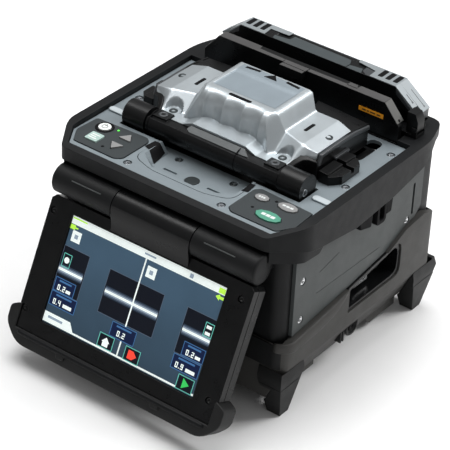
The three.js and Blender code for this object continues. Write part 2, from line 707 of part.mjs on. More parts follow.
// Round bearing cap at each end of the cover's hinge tube.
function bearingCap(side) {
  const cap = rodX(46.5, 62, COVER_AXIS_Y, COVER_AXIS_Z, COVER_CAP_RADIUS, 24);
  const foot = block(46.5, 62, COVER_AXIS_Y - 5, COVER_AXIS_Y + 7, CHAMBER_FLOOR, COVER_AXIS_Z);
  const bore = rodX(40, 56, COVER_AXIS_Y, COVER_AXIS_Z, 4.6, 16);
  const piece = join(cap, foot).subtract(bore);
  return side > 0 ? piece : piece.mirror([1, 0, 0]);
}

for (const [label, side] of SIDES) {
  put(`fiber_rest_${label}`, fiberRest(side), SATIN_BLACK);
  put(`bearing_cap_${label}`, bearingCap(side), SATIN_BLACK);
}

// ---------------------------------------------------------------- wind cover

// Tube with a flat back; its raised middle carries the apron and has a sloping front facet.
const TUBE_FLAT = 130.7;
const TUBE_CREST = 133;
const LUG_X = 39;
const LUG_BACK = -30.5;

function coverTube() {
  const round = rodX(-46, 46, COVER_AXIS_Y, COVER_AXIS_Z, COVER_TUBE_RADIUS, 24);
  const tube = round.intersect(block(-50, 50, -50, -20, 110, TUBE_FLAT));
  const crest = hull([
    [-18.5, -34.4, TUBE_CREST], [18.5, -34.4, TUBE_CREST], [-18.5, -29, TUBE_CREST], [18.5, -29, TUBE_CREST],
    [-21.5, -40.2, 130], [26, -40.2, 130], [-25, -29, 129], [28, -29, 129],
  ]);
  const axle = rodX(-55, 55, COVER_AXIS_Y, COVER_AXIS_Z, 4.2, 16);
  const lugs = [-LUG_X, LUG_X].map((x) => block(x - 5, x + 5, -38, LUG_BACK, COVER_AXIS_Z, 132.2));
  return join(tube, crest, axle, ...lugs);
}

put('cover_tube', coverTube(), SATIN_BLACK);

// Silver shell: a raised dome, two wings and an apron that lies on the tube.
const APRON_FRONT = -34.2;
const DOME_FRONT = -12;
const DOME_REAR = 18.8;

function coverSolid(inset, top, wing) {
  const dome = hull([
    ...level(21.5 - inset * 0.6, DOME_FRONT + inset, DOME_REAR - inset, top),
    ...level(25 - inset, DOME_FRONT - 7 + inset, DOME_REAR - inset, top - 3.5),
    ...level(29 - inset, -23.5 + inset, DOME_REAR + 0.6 - inset, 137.5),
    ...level(30.5 - inset, -26 + inset, DOME_REAR + 0.6 - inset, 130),
  ]);
  const wings = hull([
    ...level(46 - inset, -17.5 + inset, 15 - inset, wing),
    ...level(55.6 - inset, -18.8 + inset, 13 - inset, wing - 1.8),
    ...level(55.8 - inset, -19 + inset, 15 - inset, 130),
  ]);
  return join(dome, wings);
}

function coverShell() {
  const apron = hull([
    [-18.5, APRON_FRONT, 134.4], [18.5, APRON_FRONT, 134.4], [-18.5, -22, 134.4], [18.5, -22, 134.4],
    [-25.6, APRON_FRONT, 131.2], [25.6, APRON_FRONT, 131.2], [-25.6, -22, 131.2], [25.6, -22, 131.2],
    [-25.6, APRON_FRONT, 129.5], [25.6, APRON_FRONT, 129.5], [-25.6, -22, 129.5], [25.6, -22, 129.5],
  ]);
  const ends = prismZ(outline(mirrored([
    [33.6, APRON_FRONT], [33.6, LUG_BACK + GAP], [43, LUG_BACK + GAP], [46, -25], [46, -17],
  ])), 129.5, 131.8);
  const tubeRoom = block(-50, 50, -50, -27, 120, TUBE_FLAT + GAP);
  const crestRoom = block(-19.5, 19.5, -50, -28.7, 120, TUBE_CREST + GAP);
  const rampRoom = hull([
    [-19, -50, TUBE_CREST + GAP], [19, -50, TUBE_CREST + GAP], [-19, -28.7, TUBE_CREST + GAP],
    [19, -28.7, TUBE_CREST + GAP], [-29.5, -50, 129], [29.5, -50, 129], [-29.5, -28.7, 129], [29.5, -28.7, 129],
  ]);
  const coverBody = coverSolid(0, COVER_TOP, WING_TOP);
  const outer = join(coverBody, apron, ends).subtract(join(tubeRoom, crestRoom, rampRoom));
  const inner = coverSolid(2, COVER_TOP - 2, WING_TOP - 1.8);
  const below = block(-80, 80, -60, 60, 100, 130);
  const slots = [
    slot(-14.1, 16.2, 10, 1.6, 149, 152), slot(14.1, 16.2, 10, 1.6, 149, 152),
    slot(-38.9, -1.9, 9, 1.4, 138.8, 142, true), slot(38.9, -1.9, 9, 1.4, 138.8, 142, true),
    block(-8, 8, -15.2, -13.6, 147.4, 152),
  ];
  return cut(outer, inner, below, ...slots);
}

put('cover_shell', coverShell(), BRIGHT_SILVER);

// Black skirts and rear shoulder that close the chamber against wind.
function coverFrame() {
  const outer = hull([
    ...level(57.2, -20, 29, 129.7), ...level(57.2, -20, 29, 122.2),
  ]);
  const inner = block(-54.6, 54.6, -60, 26.6, 100, 160);
  const skirtTop = SIDES.map(([, side]) => {
    const strip = prismX(outline([[-20, 129], [29, 129], [29, 136], [14, 138], [-16, 136.4], [-20, 132]]),
      56.1, 57.2);
    return side > 0 ? strip : strip.mirror([1, 0, 0]);
  });
  const shoulder = hull([
    ...level(57.2, 19.9, 29, 129), ...level(57.2, 19.9, 29, 134.5), ...level(56, 19.9, 22, 137),
  ]);
  const sideShoulder = SIDES.map(([, side]) => {
    const piece = hull([[31, 15.3, 129], [57.2, 15.3, 129], [31, 21, 129], [57.2, 21, 129],
      [31, 15.3, 137.6], [57.2, 15.3, 137.4], [31, 21, 137], [57.2, 21, 136.9]]);
    return side > 0 ? piece : piece.mirror([1, 0, 0]);
  });
  const chamberRoom = block(-54.6, 54.6, -60, 26.6, 100, 133);
  const notches = [-1, 1].map((side) => (
    block(Math.min(side * 50, side * 60), Math.max(side * 50, side * 60), FIBER_Y - 2, FIBER_Y + 2, 100, 126)
  ));
  return join(cut(outer, inner), ...skirtTop, shoulder, ...sideShoulder).subtract(chamberRoom)
    .subtract(join(...notches));
}

put('cover_frame', coverFrame(), SATIN_BLACK);

// ---------------------------------------------------------------- tube heater

const TROUGH = { front: 48.5, back: 57.6, top: 128 };
const JAW_BACK = 70;
const JAW_PIN_RADIUS = 1.6;
const JAW_PIN_Z = HEATER_DECK + 0.3;
const FRONT_PIN_Y = 43.8;
const REAR_PIN_Y = 64.3;
// The right end clamp has a raised thumb piece; the left one is low and stands closer in.
const CLAMP_PIN = { right: 75.4, left: 70, z: 129.2, radius: 0.9 };
const CLAMP_REACH = { right: 6, left: 8.2 };

function clampPinX(side) {
  return side > 0 ? CLAMP_PIN.right : CLAMP_PIN.left;
}

function jawGroove(y) {
  const half = HEATER_HALF_WIDTH + 1;
  return rodX(-half, half, y, JAW_PIN_Z, JAW_PIN_RADIUS + GAP, 12);
}

// Table at each end of the trough, with two ears that hold the end clamp's pin.
function endTable(side) {
  const pinX = clampPinX(side);
  const y0 = TROUGH.front + 0.1;
  const y1 = TROUGH.back - 0.1;
  const table = block(60, pinX + 1.6, y0, y1, RIM_TOP + GAP, 126.8);
  const riser = block(60, HEATER_HALF_WIDTH, y0, y1, HEATER_DECK - 1, 126.8);
  const ears = [[y0, 49.3], [56.8, y1]].map(([earFront, earBack]) => (
    block(pinX - 1.8, pinX + 1.6, earFront, earBack, 126, CLAMP_PIN.z + 1.8)
  ));
  const bore = CLAMP_PIN.radius + 0.1;
  const hole = rodAlong([pinX, 40, CLAMP_PIN.z], [pinX, 64, CLAMP_PIN.z], bore, bore, 12);
  const piece = join(table, riser, ...ears).subtract(hole);
  return side > 0 ? piece : piece.mirror([1, 0, 0]);
}

function heaterHousing() {
  const half = HEATER_HALF_WIDTH;
  const base = block(-half, half, HEATER_FRONT - 0.7, HEATER_REAR, CORE_TOP, HEATER_DECK);
  const plug = block(-half, half, HEATER_FRONT, CORE_REAR - WALL - GAP, 112, CORE_TOP + 1);
  const hollow = block(-60, 60, 46, 66, 100, 117);
  const channel = block(-60.5, 60.5, TROUGH.front + 0.5, TROUGH.back - 0.5, HEATER_DECK - 1, TROUGH.top);
  const groove = block(-60, 60, 50.5, 55.6, HEATER_DECK + 1, TROUGH.top + 1);
  const housing = join(base, plug).subtract(hollow).add(channel).subtract(groove);
  return join(housing, endTable(-1), endTable(1)).subtract(join(jawGroove(FRONT_PIN_Y), jawGroove(REAR_PIN_Y)));
}

// Two jaws stand on either side of the trough and lean in over the sleeve.
function jaw(pinY, y0, y1, shoulder, tipHalf, top, relief) {
  const half = HEATER_HALF_WIDTH;
  const bottom = HEATER_DECK + 0.8;
  const wall = prismY(outline(mirrored([[half, bottom], [half, shoulder], [tipHalf, top]])), y0, y1);
  const pin = rodX(-half, half, pinY, JAW_PIN_Z, JAW_PIN_RADIUS, 12);
  const slit = block(-half - 1, half + 1, ...relief, 120, 134);
  const clampRoom = block(-half - 1, -62, ...relief, 120, 138.5);
  return cut(wall, slit, clampRoom).add(pin);
}

function frontJaw() {
  const wall = jaw(FRONT_PIN_Y, HEATER_FRONT, TROUGH.front, 132.6, 58.5, 144.5, [45.6, 60]);
  const finger = block(-12, 4, 37.6, HEATER_FRONT + 1, 139.5, 144.5);
  return wall.add(finger);
}

function rearJaw() {
  const wall = jaw(REAR_PIN_Y, TROUGH.back, JAW_BACK, 133.5, 55, 146.5, [50, 62]);
  const inset = block(-32, 36, 60, 68.4, 145.9, 150);
  return wall.subtract(inset);
}

put('heater_housing', heaterHousing(), SATIN_BLACK);
put('heater_plate', block(-59, 59, 50.8, 55.3, HEATER_DECK + 1, HEATER_DECK + 4), STEEL);
put('heater_jaw_front', frontJaw(), SATIN_BLACK);
put('heater_jaw_rear', rearJaw(), SATIN_BLACK);

// Small clamp at each end of the trough, turning outwards on its pin.
function endClamp(side) {
  const pinX = clampPinX(side);
  const top = side > 0 ? 139.5 : 132.4;
  const reach = side > 0 ? CLAMP_REACH.right : CLAMP_REACH.left;
  const foot = block(pinX - reach, pinX + 1.4, 49.6, 56.5, 127.2, top);
  const notch = block(pinX - 18, pinX - 3, 52.4, 54, 126, 130);
  const slope = prismY(outline([[pinX - 1, top + 0.5], [pinX + 2, top - 6], [pinX + 2, top + 0.5]]), 40, 60);
  const heel = block(pinX, pinX + 3, 40, 60, 126, 128.4);
  const pin = rodAlong([pinX, 48.7, CLAMP_PIN.z], [pinX, 57.4, CLAMP_PIN.z],
    CLAMP_PIN.radius, CLAMP_PIN.radius, 12);
  const piece = cut(foot, notch, slope, heel).add(pin);
  return side > 0 ? piece : piece.mirror([1, 0, 0]);
}

for (const [label, side] of SIDES) put(`heater_clamp_${label}`, endClamp(side), SATIN_BLACK);

// ---------------------------------------------------------------- inside the case

function mainBoard() {
  const board = block(-66, 66, -66, 64, 60, 61.6);
  const lensRoom = block(-12, 12, -50, 42, 50, 70);
  const chips = [[-48, -30], [-36, -30], [40, -36], [52, 4], [-52, 8], [36, 50]].map(([x, y]) => (
    block(x - 5, x + 5, y - 5, y + 5, 61, 64)
  ));
  return join(board, ...chips).subtract(lensRoom);
}

put('main_board', mainBoard(), BOARD_GREEN);
put('high_voltage_module', block(-45, -18, 16, 52, 61.6, 84), CASE_BLACK);

for (const [label, side] of SIDES) {
  const body = rodAlong([side * 30, FIBER_Y, 80], [side * 30, FIBER_Y, 106], 10, 10, 20);
  const flange = block(side * 30 - 12, side * 30 + 12, FIBER_Y - 12, FIBER_Y + 12, 105, CHAMBER_FLOOR - 3);
  put(`alignment_motor_${label}`, body.add(flange), STEEL);
}

// ---------------------------------------------------------------- battery

const BATTERY_FACE = 73.6;

function batteryPack() {
  const { halfWidth, front, bottom, top } = BATTERY;
  const pack = block(-halfWidth, halfWidth, front, BATTERY_FACE, bottom, top);
  const latchSeat = block(-12.3, 12.3, BATTERY_FACE - 2, BATTERY_FACE + 1, 30, 38);
  const grip = block(-24, 24, BATTERY_FACE - 2.5, BATTERY_FACE + 1, 15, 20);
  return cut(pack, latchSeat, grip);
}

put('battery_pack', batteryPack(), CASE_BLACK);
put('battery_latch', block(-8, 8, BATTERY_FACE - 1.7, BATTERY_FACE + 0.2, 30.4, 37.6), PANEL_GREY);

// ---------------------------------------------------------------- monitor

// Built hanging straight down from the hinge axis, then swung out to its working tilt.
const monitor = new THREE.Group();
monitor.position.set(0, SCREEN_AXIS_Y, SCREEN_AXIS_Z);
monitor.rotation.x = THREE.MathUtils.degToRad(-SCREEN_TILT);
splicer.add(monitor);

const BEZEL_DEPTH = 5; // front frame; the rear shell closes the rest
const BEZEL_BACK = SCREEN_FACE + BEZEL_DEPTH;

function screenOutline(inset) {
  return mirrored([
    [SCREEN_HALF_WIDTH - inset, SCREEN_BOTTOM + 2 + inset, 3],
    [SCREEN_HALF_WIDTH - inset, SCREEN_TOP - 2.5 - inset * 0.5],
    [SCREEN_HALF_WIDTH - 2.5 - inset * 0.5, SCREEN_TOP - inset],
  ]);
}

function displayRect(grow) {
  const halfWidth = DISPLAY_WIDTH / 2 + grow;
  const top = DISPLAY_TOP + grow;
  const bottom = DISPLAY_TOP - DISPLAY_HEIGHT - grow;
  return { halfWidth, top, bottom };
}

function displayBlock(grow, y0, y1) {
  const { halfWidth, top, bottom } = displayRect(grow);
  return block(-halfWidth, halfWidth, y0, y1, bottom, top);
}

function monitorBezel() {
  const frame = prismY(outline(screenOutline(0)), SCREEN_FACE, BEZEL_BACK);
  const window = displayBlock(0.2, SCREEN_FACE - 1, BEZEL_BACK + 1);
  const glassSeat = displayBlock(3, SCREEN_FACE + 1, BEZEL_BACK + 1);
  const screws = [-67.4, 64.6].flatMap((x) => [-19, -78].map((z) => (
    rodAlong([x, SCREEN_FACE - 1, z], [x, SCREEN_FACE + 1.6, z], 2.2, 2.2, 12)
  )));
  const bumperRoom = bumperEnvelope(GAP);
  return cut(frame, window, glassSeat, ...screws).subtract(bumperRoom);
}

function monitorBack() {
  const shell = prismY(outline(screenOutline(0)), BEZEL_BACK + GAP, SCREEN_BACK);
  const hollow = prismY(outline(screenOutline(4)), BEZEL_BACK - 1, SCREEN_BACK - 1.8);
  const neck = block(-SCREEN_BARREL_HALF, SCREEN_BARREL_HALF, BEZEL_BACK + GAP, SCREEN_BACK - 0.7,
    SCREEN_TOP - 3, 0);
  const round = rodX(-SCREEN_BARREL_HALF, SCREEN_BARREL_HALF, 0, 0, SCREEN_BARREL_RADIUS, 28);
  const bore = rodX(-80, 80, 0, 0, 3 + GAP, 16);
  const frontNeck = block(-SCREEN_BARREL_HALF, SCREEN_BARREL_HALF, SCREEN_FACE, SCREEN_BACK - 0.7,
    SCREEN_TOP + GAP, 0);
  return join(cut(shell, hollow), neck, frontNeck, round).subtract(bore).subtract(bumperEnvelope(GAP));
}

// Space that the rubber bumper fills around the lower edge of the housing.
function bumperEnvelope(grow) {
  const lip = SCREEN_BOTTOM + 9 + grow;
  return join(
    block(-90, 90, SCREEN_FACE - 5, SCREEN_BACK + 5, SCREEN_BOTTOM - 5, lip),
    block(-90, -SCREEN_HALF_WIDTH + 1.8 + grow, SCREEN_FACE - 5, SCREEN_BACK + 5, SCREEN_BOTTOM - 5, BUMPER_TOP),
    block(SCREEN_HALF_WIDTH - 1.8 - grow, 90, SCREEN_FACE - 5, SCREEN_BACK + 5, SCREEN_BOTTOM - 5, BUMPER_TOP),
  );
}

function monitorBumper() {
  const shape = prismY(outline(mirrored([
    [BUMPER_HALF_WIDTH - 10, SCREEN_BOTTOM, 6], [BUMPER_HALF_WIDTH, SCREEN_BOTTOM + 10, 4],
    [BUMPER_HALF_WIDTH, BUMPER_TOP - 3, 2], [SCREEN_HALF_WIDTH, BUMPER_TOP, 2],
  ])), SCREEN_FACE - 1, SCREEN_BACK + 0.6);
  return shape.intersect(bumperEnvelope(0));
}

put('monitor_bezel', monitorBezel(), SATIN_BLACK, monitor);
put('monitor_back', monitorBack(), SATIN_BLACK, monitor);
put('monitor_bumper', monitorBumper(), BOOT_RUBBER, monitor);
put('display_glass', displayBlock(2.7, SCREEN_FACE + 1 + GAP, SCREEN_FACE + 2.3), GLASS, monitor);
put('display_module', displayBlock(1.5, SCREEN_FACE + 2.6, SCREEN_FACE + 6.2), STEEL, monitor);

// ---------------------------------------------------------------- origin

// The origin is the centre of the footprint box, on the ground.
const bounds = new THREE.Box3().setFromObject(splicer, true);
splicer.position.y = -(bounds.min.y + bounds.max.y) / 2;

const fusionSplicer = new THREE.Group();
fusionSplicer.add(splicer);
fusionSplicer.updateMatrixWorld(true);

export default fusionSplicer;
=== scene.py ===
"""Looks of the fiber fusion splicer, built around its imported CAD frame.

Lengths are written in millimetres in the case's own directions: x to the operator's right,
y to the back from the middle of the case, z up from the ground. at() turns them into the frame.
"""
import json
import math

import bmesh
import bpy
from mathutils import Matrix, Vector
from mathutils.bvhtree import BVHTree


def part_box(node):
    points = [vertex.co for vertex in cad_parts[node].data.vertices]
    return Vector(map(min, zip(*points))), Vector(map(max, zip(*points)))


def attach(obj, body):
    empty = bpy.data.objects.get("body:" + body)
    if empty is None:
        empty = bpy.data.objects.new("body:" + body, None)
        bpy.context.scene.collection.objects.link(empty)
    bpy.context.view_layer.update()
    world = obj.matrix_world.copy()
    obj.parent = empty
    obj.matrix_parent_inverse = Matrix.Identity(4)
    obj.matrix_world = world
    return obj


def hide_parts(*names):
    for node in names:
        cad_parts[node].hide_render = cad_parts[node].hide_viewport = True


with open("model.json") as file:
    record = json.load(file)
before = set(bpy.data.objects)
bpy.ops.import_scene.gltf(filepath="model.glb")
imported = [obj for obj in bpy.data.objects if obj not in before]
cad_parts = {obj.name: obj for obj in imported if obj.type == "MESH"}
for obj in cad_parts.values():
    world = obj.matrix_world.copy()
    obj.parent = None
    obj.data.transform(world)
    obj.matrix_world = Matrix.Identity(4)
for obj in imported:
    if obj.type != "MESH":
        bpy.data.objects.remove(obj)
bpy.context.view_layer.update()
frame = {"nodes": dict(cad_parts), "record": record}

MM = 0.001
SIDES = (("left", -1), ("right", 1))

# ------------------------------------------------------------------ places

MAGNET_Y = -57.0
magnet_low, magnet_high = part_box("tray_magnet")
CASE_SHIFT = (magnet_low.y + magnet_high.y) / 2 / MM - MAGNET_Y

SCREEN_AXIS = (-85.0, 102.0)
SCREEN_TILT = math.radians(25)
SCREEN_FACE = -2.3
DISPLAY_TOP = -17.0
DISPLAY_WIDTH = 108.2
DISPLAY_HEIGHT = 64.0
DISPLAY_DEPTH = SCREEN_FACE + 1.15

DECK = 121.4
KEYPAD = 121.9
TRAY_FLOOR = 115.0
COVER_TOP = 150.0


def at(x, y, z):
    """A point given in the case's millimetres, in the frame's metres."""
    return Vector((x, y + CASE_SHIFT, z)) * MM


def on_screen(x, y, z):
    """A point given in the monitor's own millimetres: hinge axis at 0, hanging straight down."""
    turned_y = y * math.cos(SCREEN_TILT) + z * math.sin(SCREEN_TILT)
    turned_z = -y * math.sin(SCREEN_TILT) + z * math.cos(SCREEN_TILT)
    return at(x, SCREEN_AXIS[0] + turned_y, SCREEN_AXIS[1] + turned_z)


def on_display(across, down, lift=0.0):
    """A point on the display: across from its left edge, down from its top edge."""
    return on_screen(across - DISPLAY_WIDTH / 2, DISPLAY_DEPTH - lift, DISPLAY_TOP - down)


# ------------------------------------------------------------------ materials

def material(name, color, rough, metal=0.0, grain=0.0, grain_size=0.6, mottle=0.12, spread=0.1,
             spec=0.5, streak=None, glow=0.0, fade=0.0):
    """A procedural finish: mottled colour, uneven roughness and a fine moulded or cast grain.

    grain is the bump height and grain_size its size, both in millimetres. fade makes a piece
    lighter at its top and darker at its bottom by that share.
    """
    made = bpy.data.materials.new(name)
    made.use_nodes = True
    nodes = made.node_tree.nodes
    links = made.node_tree.links
    shader = nodes["Principled BSDF"]
    shader.inputs["Metallic"].default_value = metal
    shader.inputs["Specular IOR Level"].default_value = spec
    place = nodes.new("ShaderNodeTexCoord")
    source = place.outputs["Object"]
    if streak:
        stretch = nodes.new("ShaderNodeMapping")
        stretch.inputs["Scale"].default_value = streak
        links.new(source, stretch.inputs["Vector"])
        source = stretch.outputs["Vector"]

    def noise(size, detail):
        texture = nodes.new("ShaderNodeTexNoise")
        texture.inputs["Scale"].default_value = 1 / (size * MM)
        texture.inputs["Detail"].default_value = detail
        links.new(source, texture.inputs["Vector"])
        return texture.outputs["Fac"]

    patches = noise(22, 4)
    ramp = nodes.new("ShaderNodeValToRGB")
    dark = [channel * (1 - mottle) for channel in color]
    light = [min(channel * (1 + mottle), 1) for channel in color]
    ramp.color_ramp.elements[0].position = 0.3
    ramp.color_ramp.elements[1].position = 0.7
    ramp.color_ramp.elements[0].color = (*dark, 1)
    ramp.color_ramp.elements[1].color = (*light, 1)
    links.new(patches, ramp.inputs["Fac"])
    paint = ramp.outputs["Color"]
    if fade:
        split = nodes.new("ShaderNodeSeparateXYZ")
        level = nodes.new("ShaderNodeMapRange")
        level.inputs["To Min"].default_value = 1 - fade
        level.inputs["To Max"].default_value = 1 + fade
        faded = nodes.new("ShaderNodeVectorMath")
        faded.operation = "SCALE"
        links.new(place.outputs["Generated"], split.inputs["Vector"])
        links.new(split.outputs["Z"], level.inputs["Value"])
        links.new(paint, faded.inputs["Vector"])
        links.new(level.outputs["Result"], faded.inputs["Scale"])
        paint = faded.outputs["Vector"]
    links.new(paint, shader.inputs["Base Color"])

    smudges = noise(7, 5)
    spread_range = nodes.new("ShaderNodeMapRange")
    spread_range.inputs["To Min"].default_value = max(rough - spread, 0.02)
    spread_range.inputs["To Max"].default_value = min(rough + spread, 1)
    links.new(smudges, spread_range.inputs["Value"])
    links.new(spread_range.outputs["Result"], shader.inputs["Roughness"])

    if grain:
        bump = nodes.new("ShaderNodeBump")
        bump.inputs["Strength"].default_value = 0.6
        bump.inputs["Distance"].default_value = grain * MM
        links.new(noise(grain_size, 2), bump.inputs["Height"])
        links.new(bump.outputs["Normal"], shader.inputs["Normal"])
    if glow:
        links.new(paint, shader.inputs["Emission Color"])
        shader.inputs["Emission Strength"].default_value = glow
    return made


LOOKS = {}


def add_look(name, *finish, **options):
    """Makes a material from the values that material() takes and keeps it under its name."""
    LOOKS[name] = material(name, *finish, **options)


add_look("silver_deck", (0.175, 0.205, 0.222), 0.40, 0.35, 0.02, 0.5, 0.05, 0.06)
add_look("silver_cover", (0.40, 0.435, 0.455), 0.40, 0.8, 0.02, 0.5, 0.05, 0.06)
add_look("case_black", (0.0042, 0.0046, 0.0050), 0.50, 0, 0.05, 0.5, 0.2, spec=0.18)
add_look("case_grey", (0.034, 0.033, 0.031), 0.58, 0, 0.07, 0.5, 0.12, spec=0.3)
add_look("rim_rubber", (0.0035, 0.0040, 0.0046), 0.50, 0, 0.05, 0.4, 0.15, spec=0.15)
add_look("panel_grey", (0.042, 0.047, 0.047), 0.5, 0, 0.05, 0.4, 0.08, spec=0.3)
add_look("satin_black", (0.0032, 0.0034, 0.0037), 0.30, 0, 0.03, 0.4, 0.25, spec=0.2)
# The negative fade makes each piece in this rubber lighter towards its bottom. On the boots this gives their
# lighter feet. Elsewhere, as along the monitor's bumper, it is a painted highlight.
add_look("boot_rubber", (0.0065, 0.0068, 0.0070), 0.5, 0, 0.06, 0.4, 0.2, 0.12, spec=0.25, fade=-0.4)
add_look("keypad_slate", (0.020, 0.025, 0.027), 0.5, 0, 0.02, 0.3, 0.06, spec=0.3)
add_look("steel", (0.30, 0.31, 0.32), 0.28, 1, 0.01, 0.2, 0.1, 0.08, streak=(1, 12, 1))
add_look("magnet_dark", (0.030, 0.036, 0.038), 0.35, 0.6, 0.01, 0.3, 0.1)
add_look("glass", (0.010, 0.012, 0.016), 0.12, 0, 0.002, 1, 0.1, 0.04)
add_look("board_green", (0.012, 0.09, 0.035), 0.4, 0, 0.02, 0.8, 0.2)
add_look("ceramic", (0.78, 0.74, 0.66), 0.3, 0, 0.01, 0.3, 0.04)
add_look("key_white", (0.60, 0.62, 0.60), 0.35, 0, 0.01, 0.3, 0.03)
add_look("key_teal", (0.28, 0.38, 0.35), 0.45, 0, 0.01, 0.3, 0.04)
add_look("key_grey", (0.17, 0.17, 0.17), 0.45, 0, 0.01, 0.3, 0.04)
add_look("key_green", (0.045, 0.21, 0.14), 0.42, 0, 0.01, 0.3, 0.05)
add_look("void_black", (0.0025, 0.0025, 0.003), 0.7, 0, 0.02, 0.5, 0.2, spec=0.1)
add_look("tube_grey", (0.030, 0.033, 0.036), 0.34, 0, 0.03, 0.4, 0.15, spec=0.4)
add_look("inlay_grey", (0.030, 0.038, 0.041), 0.45, 0, 0.03, 0.4, 0.1, spec=0.4)
add_look("strip_grey", (0.042, 0.041, 0.041), 0.45, 0, 0.03, 0.4, 0.12, spec=0.4)
add_look("slope_grey", (0.070, 0.070, 0.066), 0.5, 0, 0.03, 0.4, 0.1, spec=0.4)
add_look("screw_grey", (0.13, 0.14, 0.15), 0.3, 0.7, 0.01, 0.3, 0.1)
add_look("cap_silver", (0.20, 0.22, 0.23), 0.42, 0.3, 0.02, 0.5, 0.05, 0.06)
add_look("inset_silver", (0.225, 0.265, 0.295), 0.4, 0.5, 0.02, 0.5, 0.05, 0.06)
add_look("pill_silver", (0.40, 0.44, 0.46), 0.35, 0.2, 0.02, 0.5, 0.05, 0.06)
# On the tube's front facet this grey is a painted reflection; on the rear jaw's caps it draws the raised
# lines.
add_look("sheen_and_line_grey", (0.030, 0.036, 0.038), 0.45, 0, 0.03, 0.4, 0.08)
add_look("label_orange", (0.75, 0.30, 0.012), 0.45, 0, 0.01, 0.4, 0.12)
add_look("label_mark", (0.06, 0.035, 0.01), 0.5, 0, 0.01, 0.4, 0.1)
add_look("key_mark", (0.50, 0.53, 0.52), 0.5, 0, 0.01, 0.4, 0.03)
add_look("dark_mark", (0.16, 0.18, 0.18), 0.5, 0, 0.01, 0.4, 0.1)
add_look("led_green", (0.06, 0.55, 0.04), 0.3, glow=1.2, mottle=0.05)
add_look("chrome", (0.60, 0.61, 0.62), 0.18, 1, 0.005, 0.4, 0.05, 0.05)


def add_screen_look(name, color, glow, fade=0.0):
    add_look("screen_" + name, color, 0.3, glow=glow, mottle=0.06, spread=0.03, spec=0.2, fade=fade)


add_screen_look("back", (0.030, 0.056, 0.085), 0.6, 0.3)
add_screen_look("dark", (0.0028, 0.0042, 0.0085), 0.5)
add_screen_look("navy", (0.003, 0.008, 0.034), 0.6)
add_screen_look("outline", (0.040, 0.115, 0.25), 0.6)
add_screen_look("haze", (0.018, 0.030, 0.048), 0.6)
add_screen_look("mist", (0.065, 0.088, 0.125), 0.6)
add_screen_look("teal", (0.10, 0.38, 0.32), 0.7)
add_screen_look("white", (0.66, 0.72, 0.70), 0.55)
add_screen_look("grey", (0.20, 0.25, 0.31), 0.6)
add_screen_look("lime", (0.36, 0.66, 0.06), 0.7)
add_screen_look("red", (0.65, 0.05, 0.03), 0.7)
add_screen_look("green", (0.03, 0.40, 0.08), 0.7)

# ------------------------------------------------------------------ mesh helpers


def finish_piece(bm, name, look, body, smooth=True, bevel=0.0, segments=2):
    """Turns collected faces into one painted object that rides on a body.
    """
    bmesh.ops.recalc_face_normals(bm, faces=bm.faces)
    data = bpy.data.meshes.new(name)
    bm.to_mesh(data)
    bm.free()
    piece = bpy.data.objects.new(name, data)
    bpy.context.scene.collection.objects.link(piece)
    data.materials.append(LOOKS[look])
    for polygon in data.polygons:
        polygon.use_smooth = smooth
    if bevel:
        soften(piece, bevel, segments)
    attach(piece, body)
    return piece


def soften(piece, width, segments=2, angle=32):
    """Rounds a piece's sharp edges by a width in millimetres."""
    edge = piece.modifiers.new("edge", "BEVEL")
    edge.width = width * MM
    edge.segments = segments
    edge.limit_method = "ANGLE"
    edge.angle_limit = math.radians(angle)
    edge.harden_normals = True
    edge.use_clamp_overlap = True


def add_prism(bm, outline, low, high, place):
    """A prism of an outline of (a, b) points, from depth low to high; place maps (a, b, depth)."""
    rings = [[bm.verts.new(place(a, b, depth)) for a, b in outline] for depth in (low, high)]
    count = len(outline)
    bm.faces.new(rings[0][::-1])
    bm.faces.new(rings[1])
    for i in range(count):
        j = (i + 1) % count
        bm.faces.new((rings[0][i], rings[0][j], rings[1][j], rings[1][i]))


def add_box(bm, corner, opposite, place=at):
    """A box between two corners in the directions of place."""
    x0, y0, z0 = corner
    x1, y1, z1 = opposite
    add_prism(bm, [(x0, y0), (x1, y0), (x1, y1), (x0, y1)], z0, z1, place)


def add_turned(bm, profile, centre, axis, steps=24, hexagon=()):
    """A turned solid from (radius, height) points; the rings numbered in hexagon have six sides."""
    turn = Vector((0, 0, 1)).rotation_difference(Vector(axis).normalized()).to_matrix()
    rings = []
    for index, (radius, height) in enumerate(profile):
        ring = []
        for k in range(steps):
            angle = 2 * math.pi * k / steps
            reach = radius
            if index in hexagon:
                reach = radius * math.cos(math.pi / 6) / math.cos((angle % (math.pi / 3)) - math.pi / 6)
            local = Vector((reach * math.cos(angle), reach * math.sin(angle), height)) * MM
            ring.append(bm.verts.new(centre + turn @ local))
        rings.append(ring)
    for lower, upper in zip(rings, rings[1:]):
        for k in range(steps):
            n = (k + 1) % steps
            bm.faces.new((lower[k], lower[n], upper[n], upper[k]))
    bm.faces.new(rings[0][::-1])
    bm.faces.new(rings[-1])


def rounded(x0, y0, x1, y1, radius, steps=5):
    """Points of a rectangle with round corners."""
    points = []
    corners = [(x1 - radius, y0 + radius, -90), (x1 - radius, y1 - radius, 0),
               (x0 + radius, y1 - radius, 90), (x0 + radius, y0 + radius, 180)]
    for cx, cy, start in corners:
        for k in range(steps + 1):
            angle = math.radians(start + 90 * k / steps)
            points.append((cx + radius * math.cos(angle), cy + radius * math.sin(angle)))
    return points


def ellipse(x, y, a, b, steps=32):
    return [(x + a * math.cos(2 * math.pi * k / steps), y + b * math.sin(2 * math.pi * k / steps))
            for k in range(steps)]


def facing_x(side):
    """Places (y, z, depth) on the case's right or left side, depth being the distance from the middle."""
    return lambda y, z, depth: at(side * depth, y, z)


def facing_y(x, z, depth):
    """Places (x, z, depth) on a face that looks along y."""
    return at(x, depth, z)


SCREW_PROFILE = [(2.1, -1.0), (2.1, -0.35), (1.85, -0.1), (1.1, -0.05), (1.0, -0.9), (0.0, -0.9)]


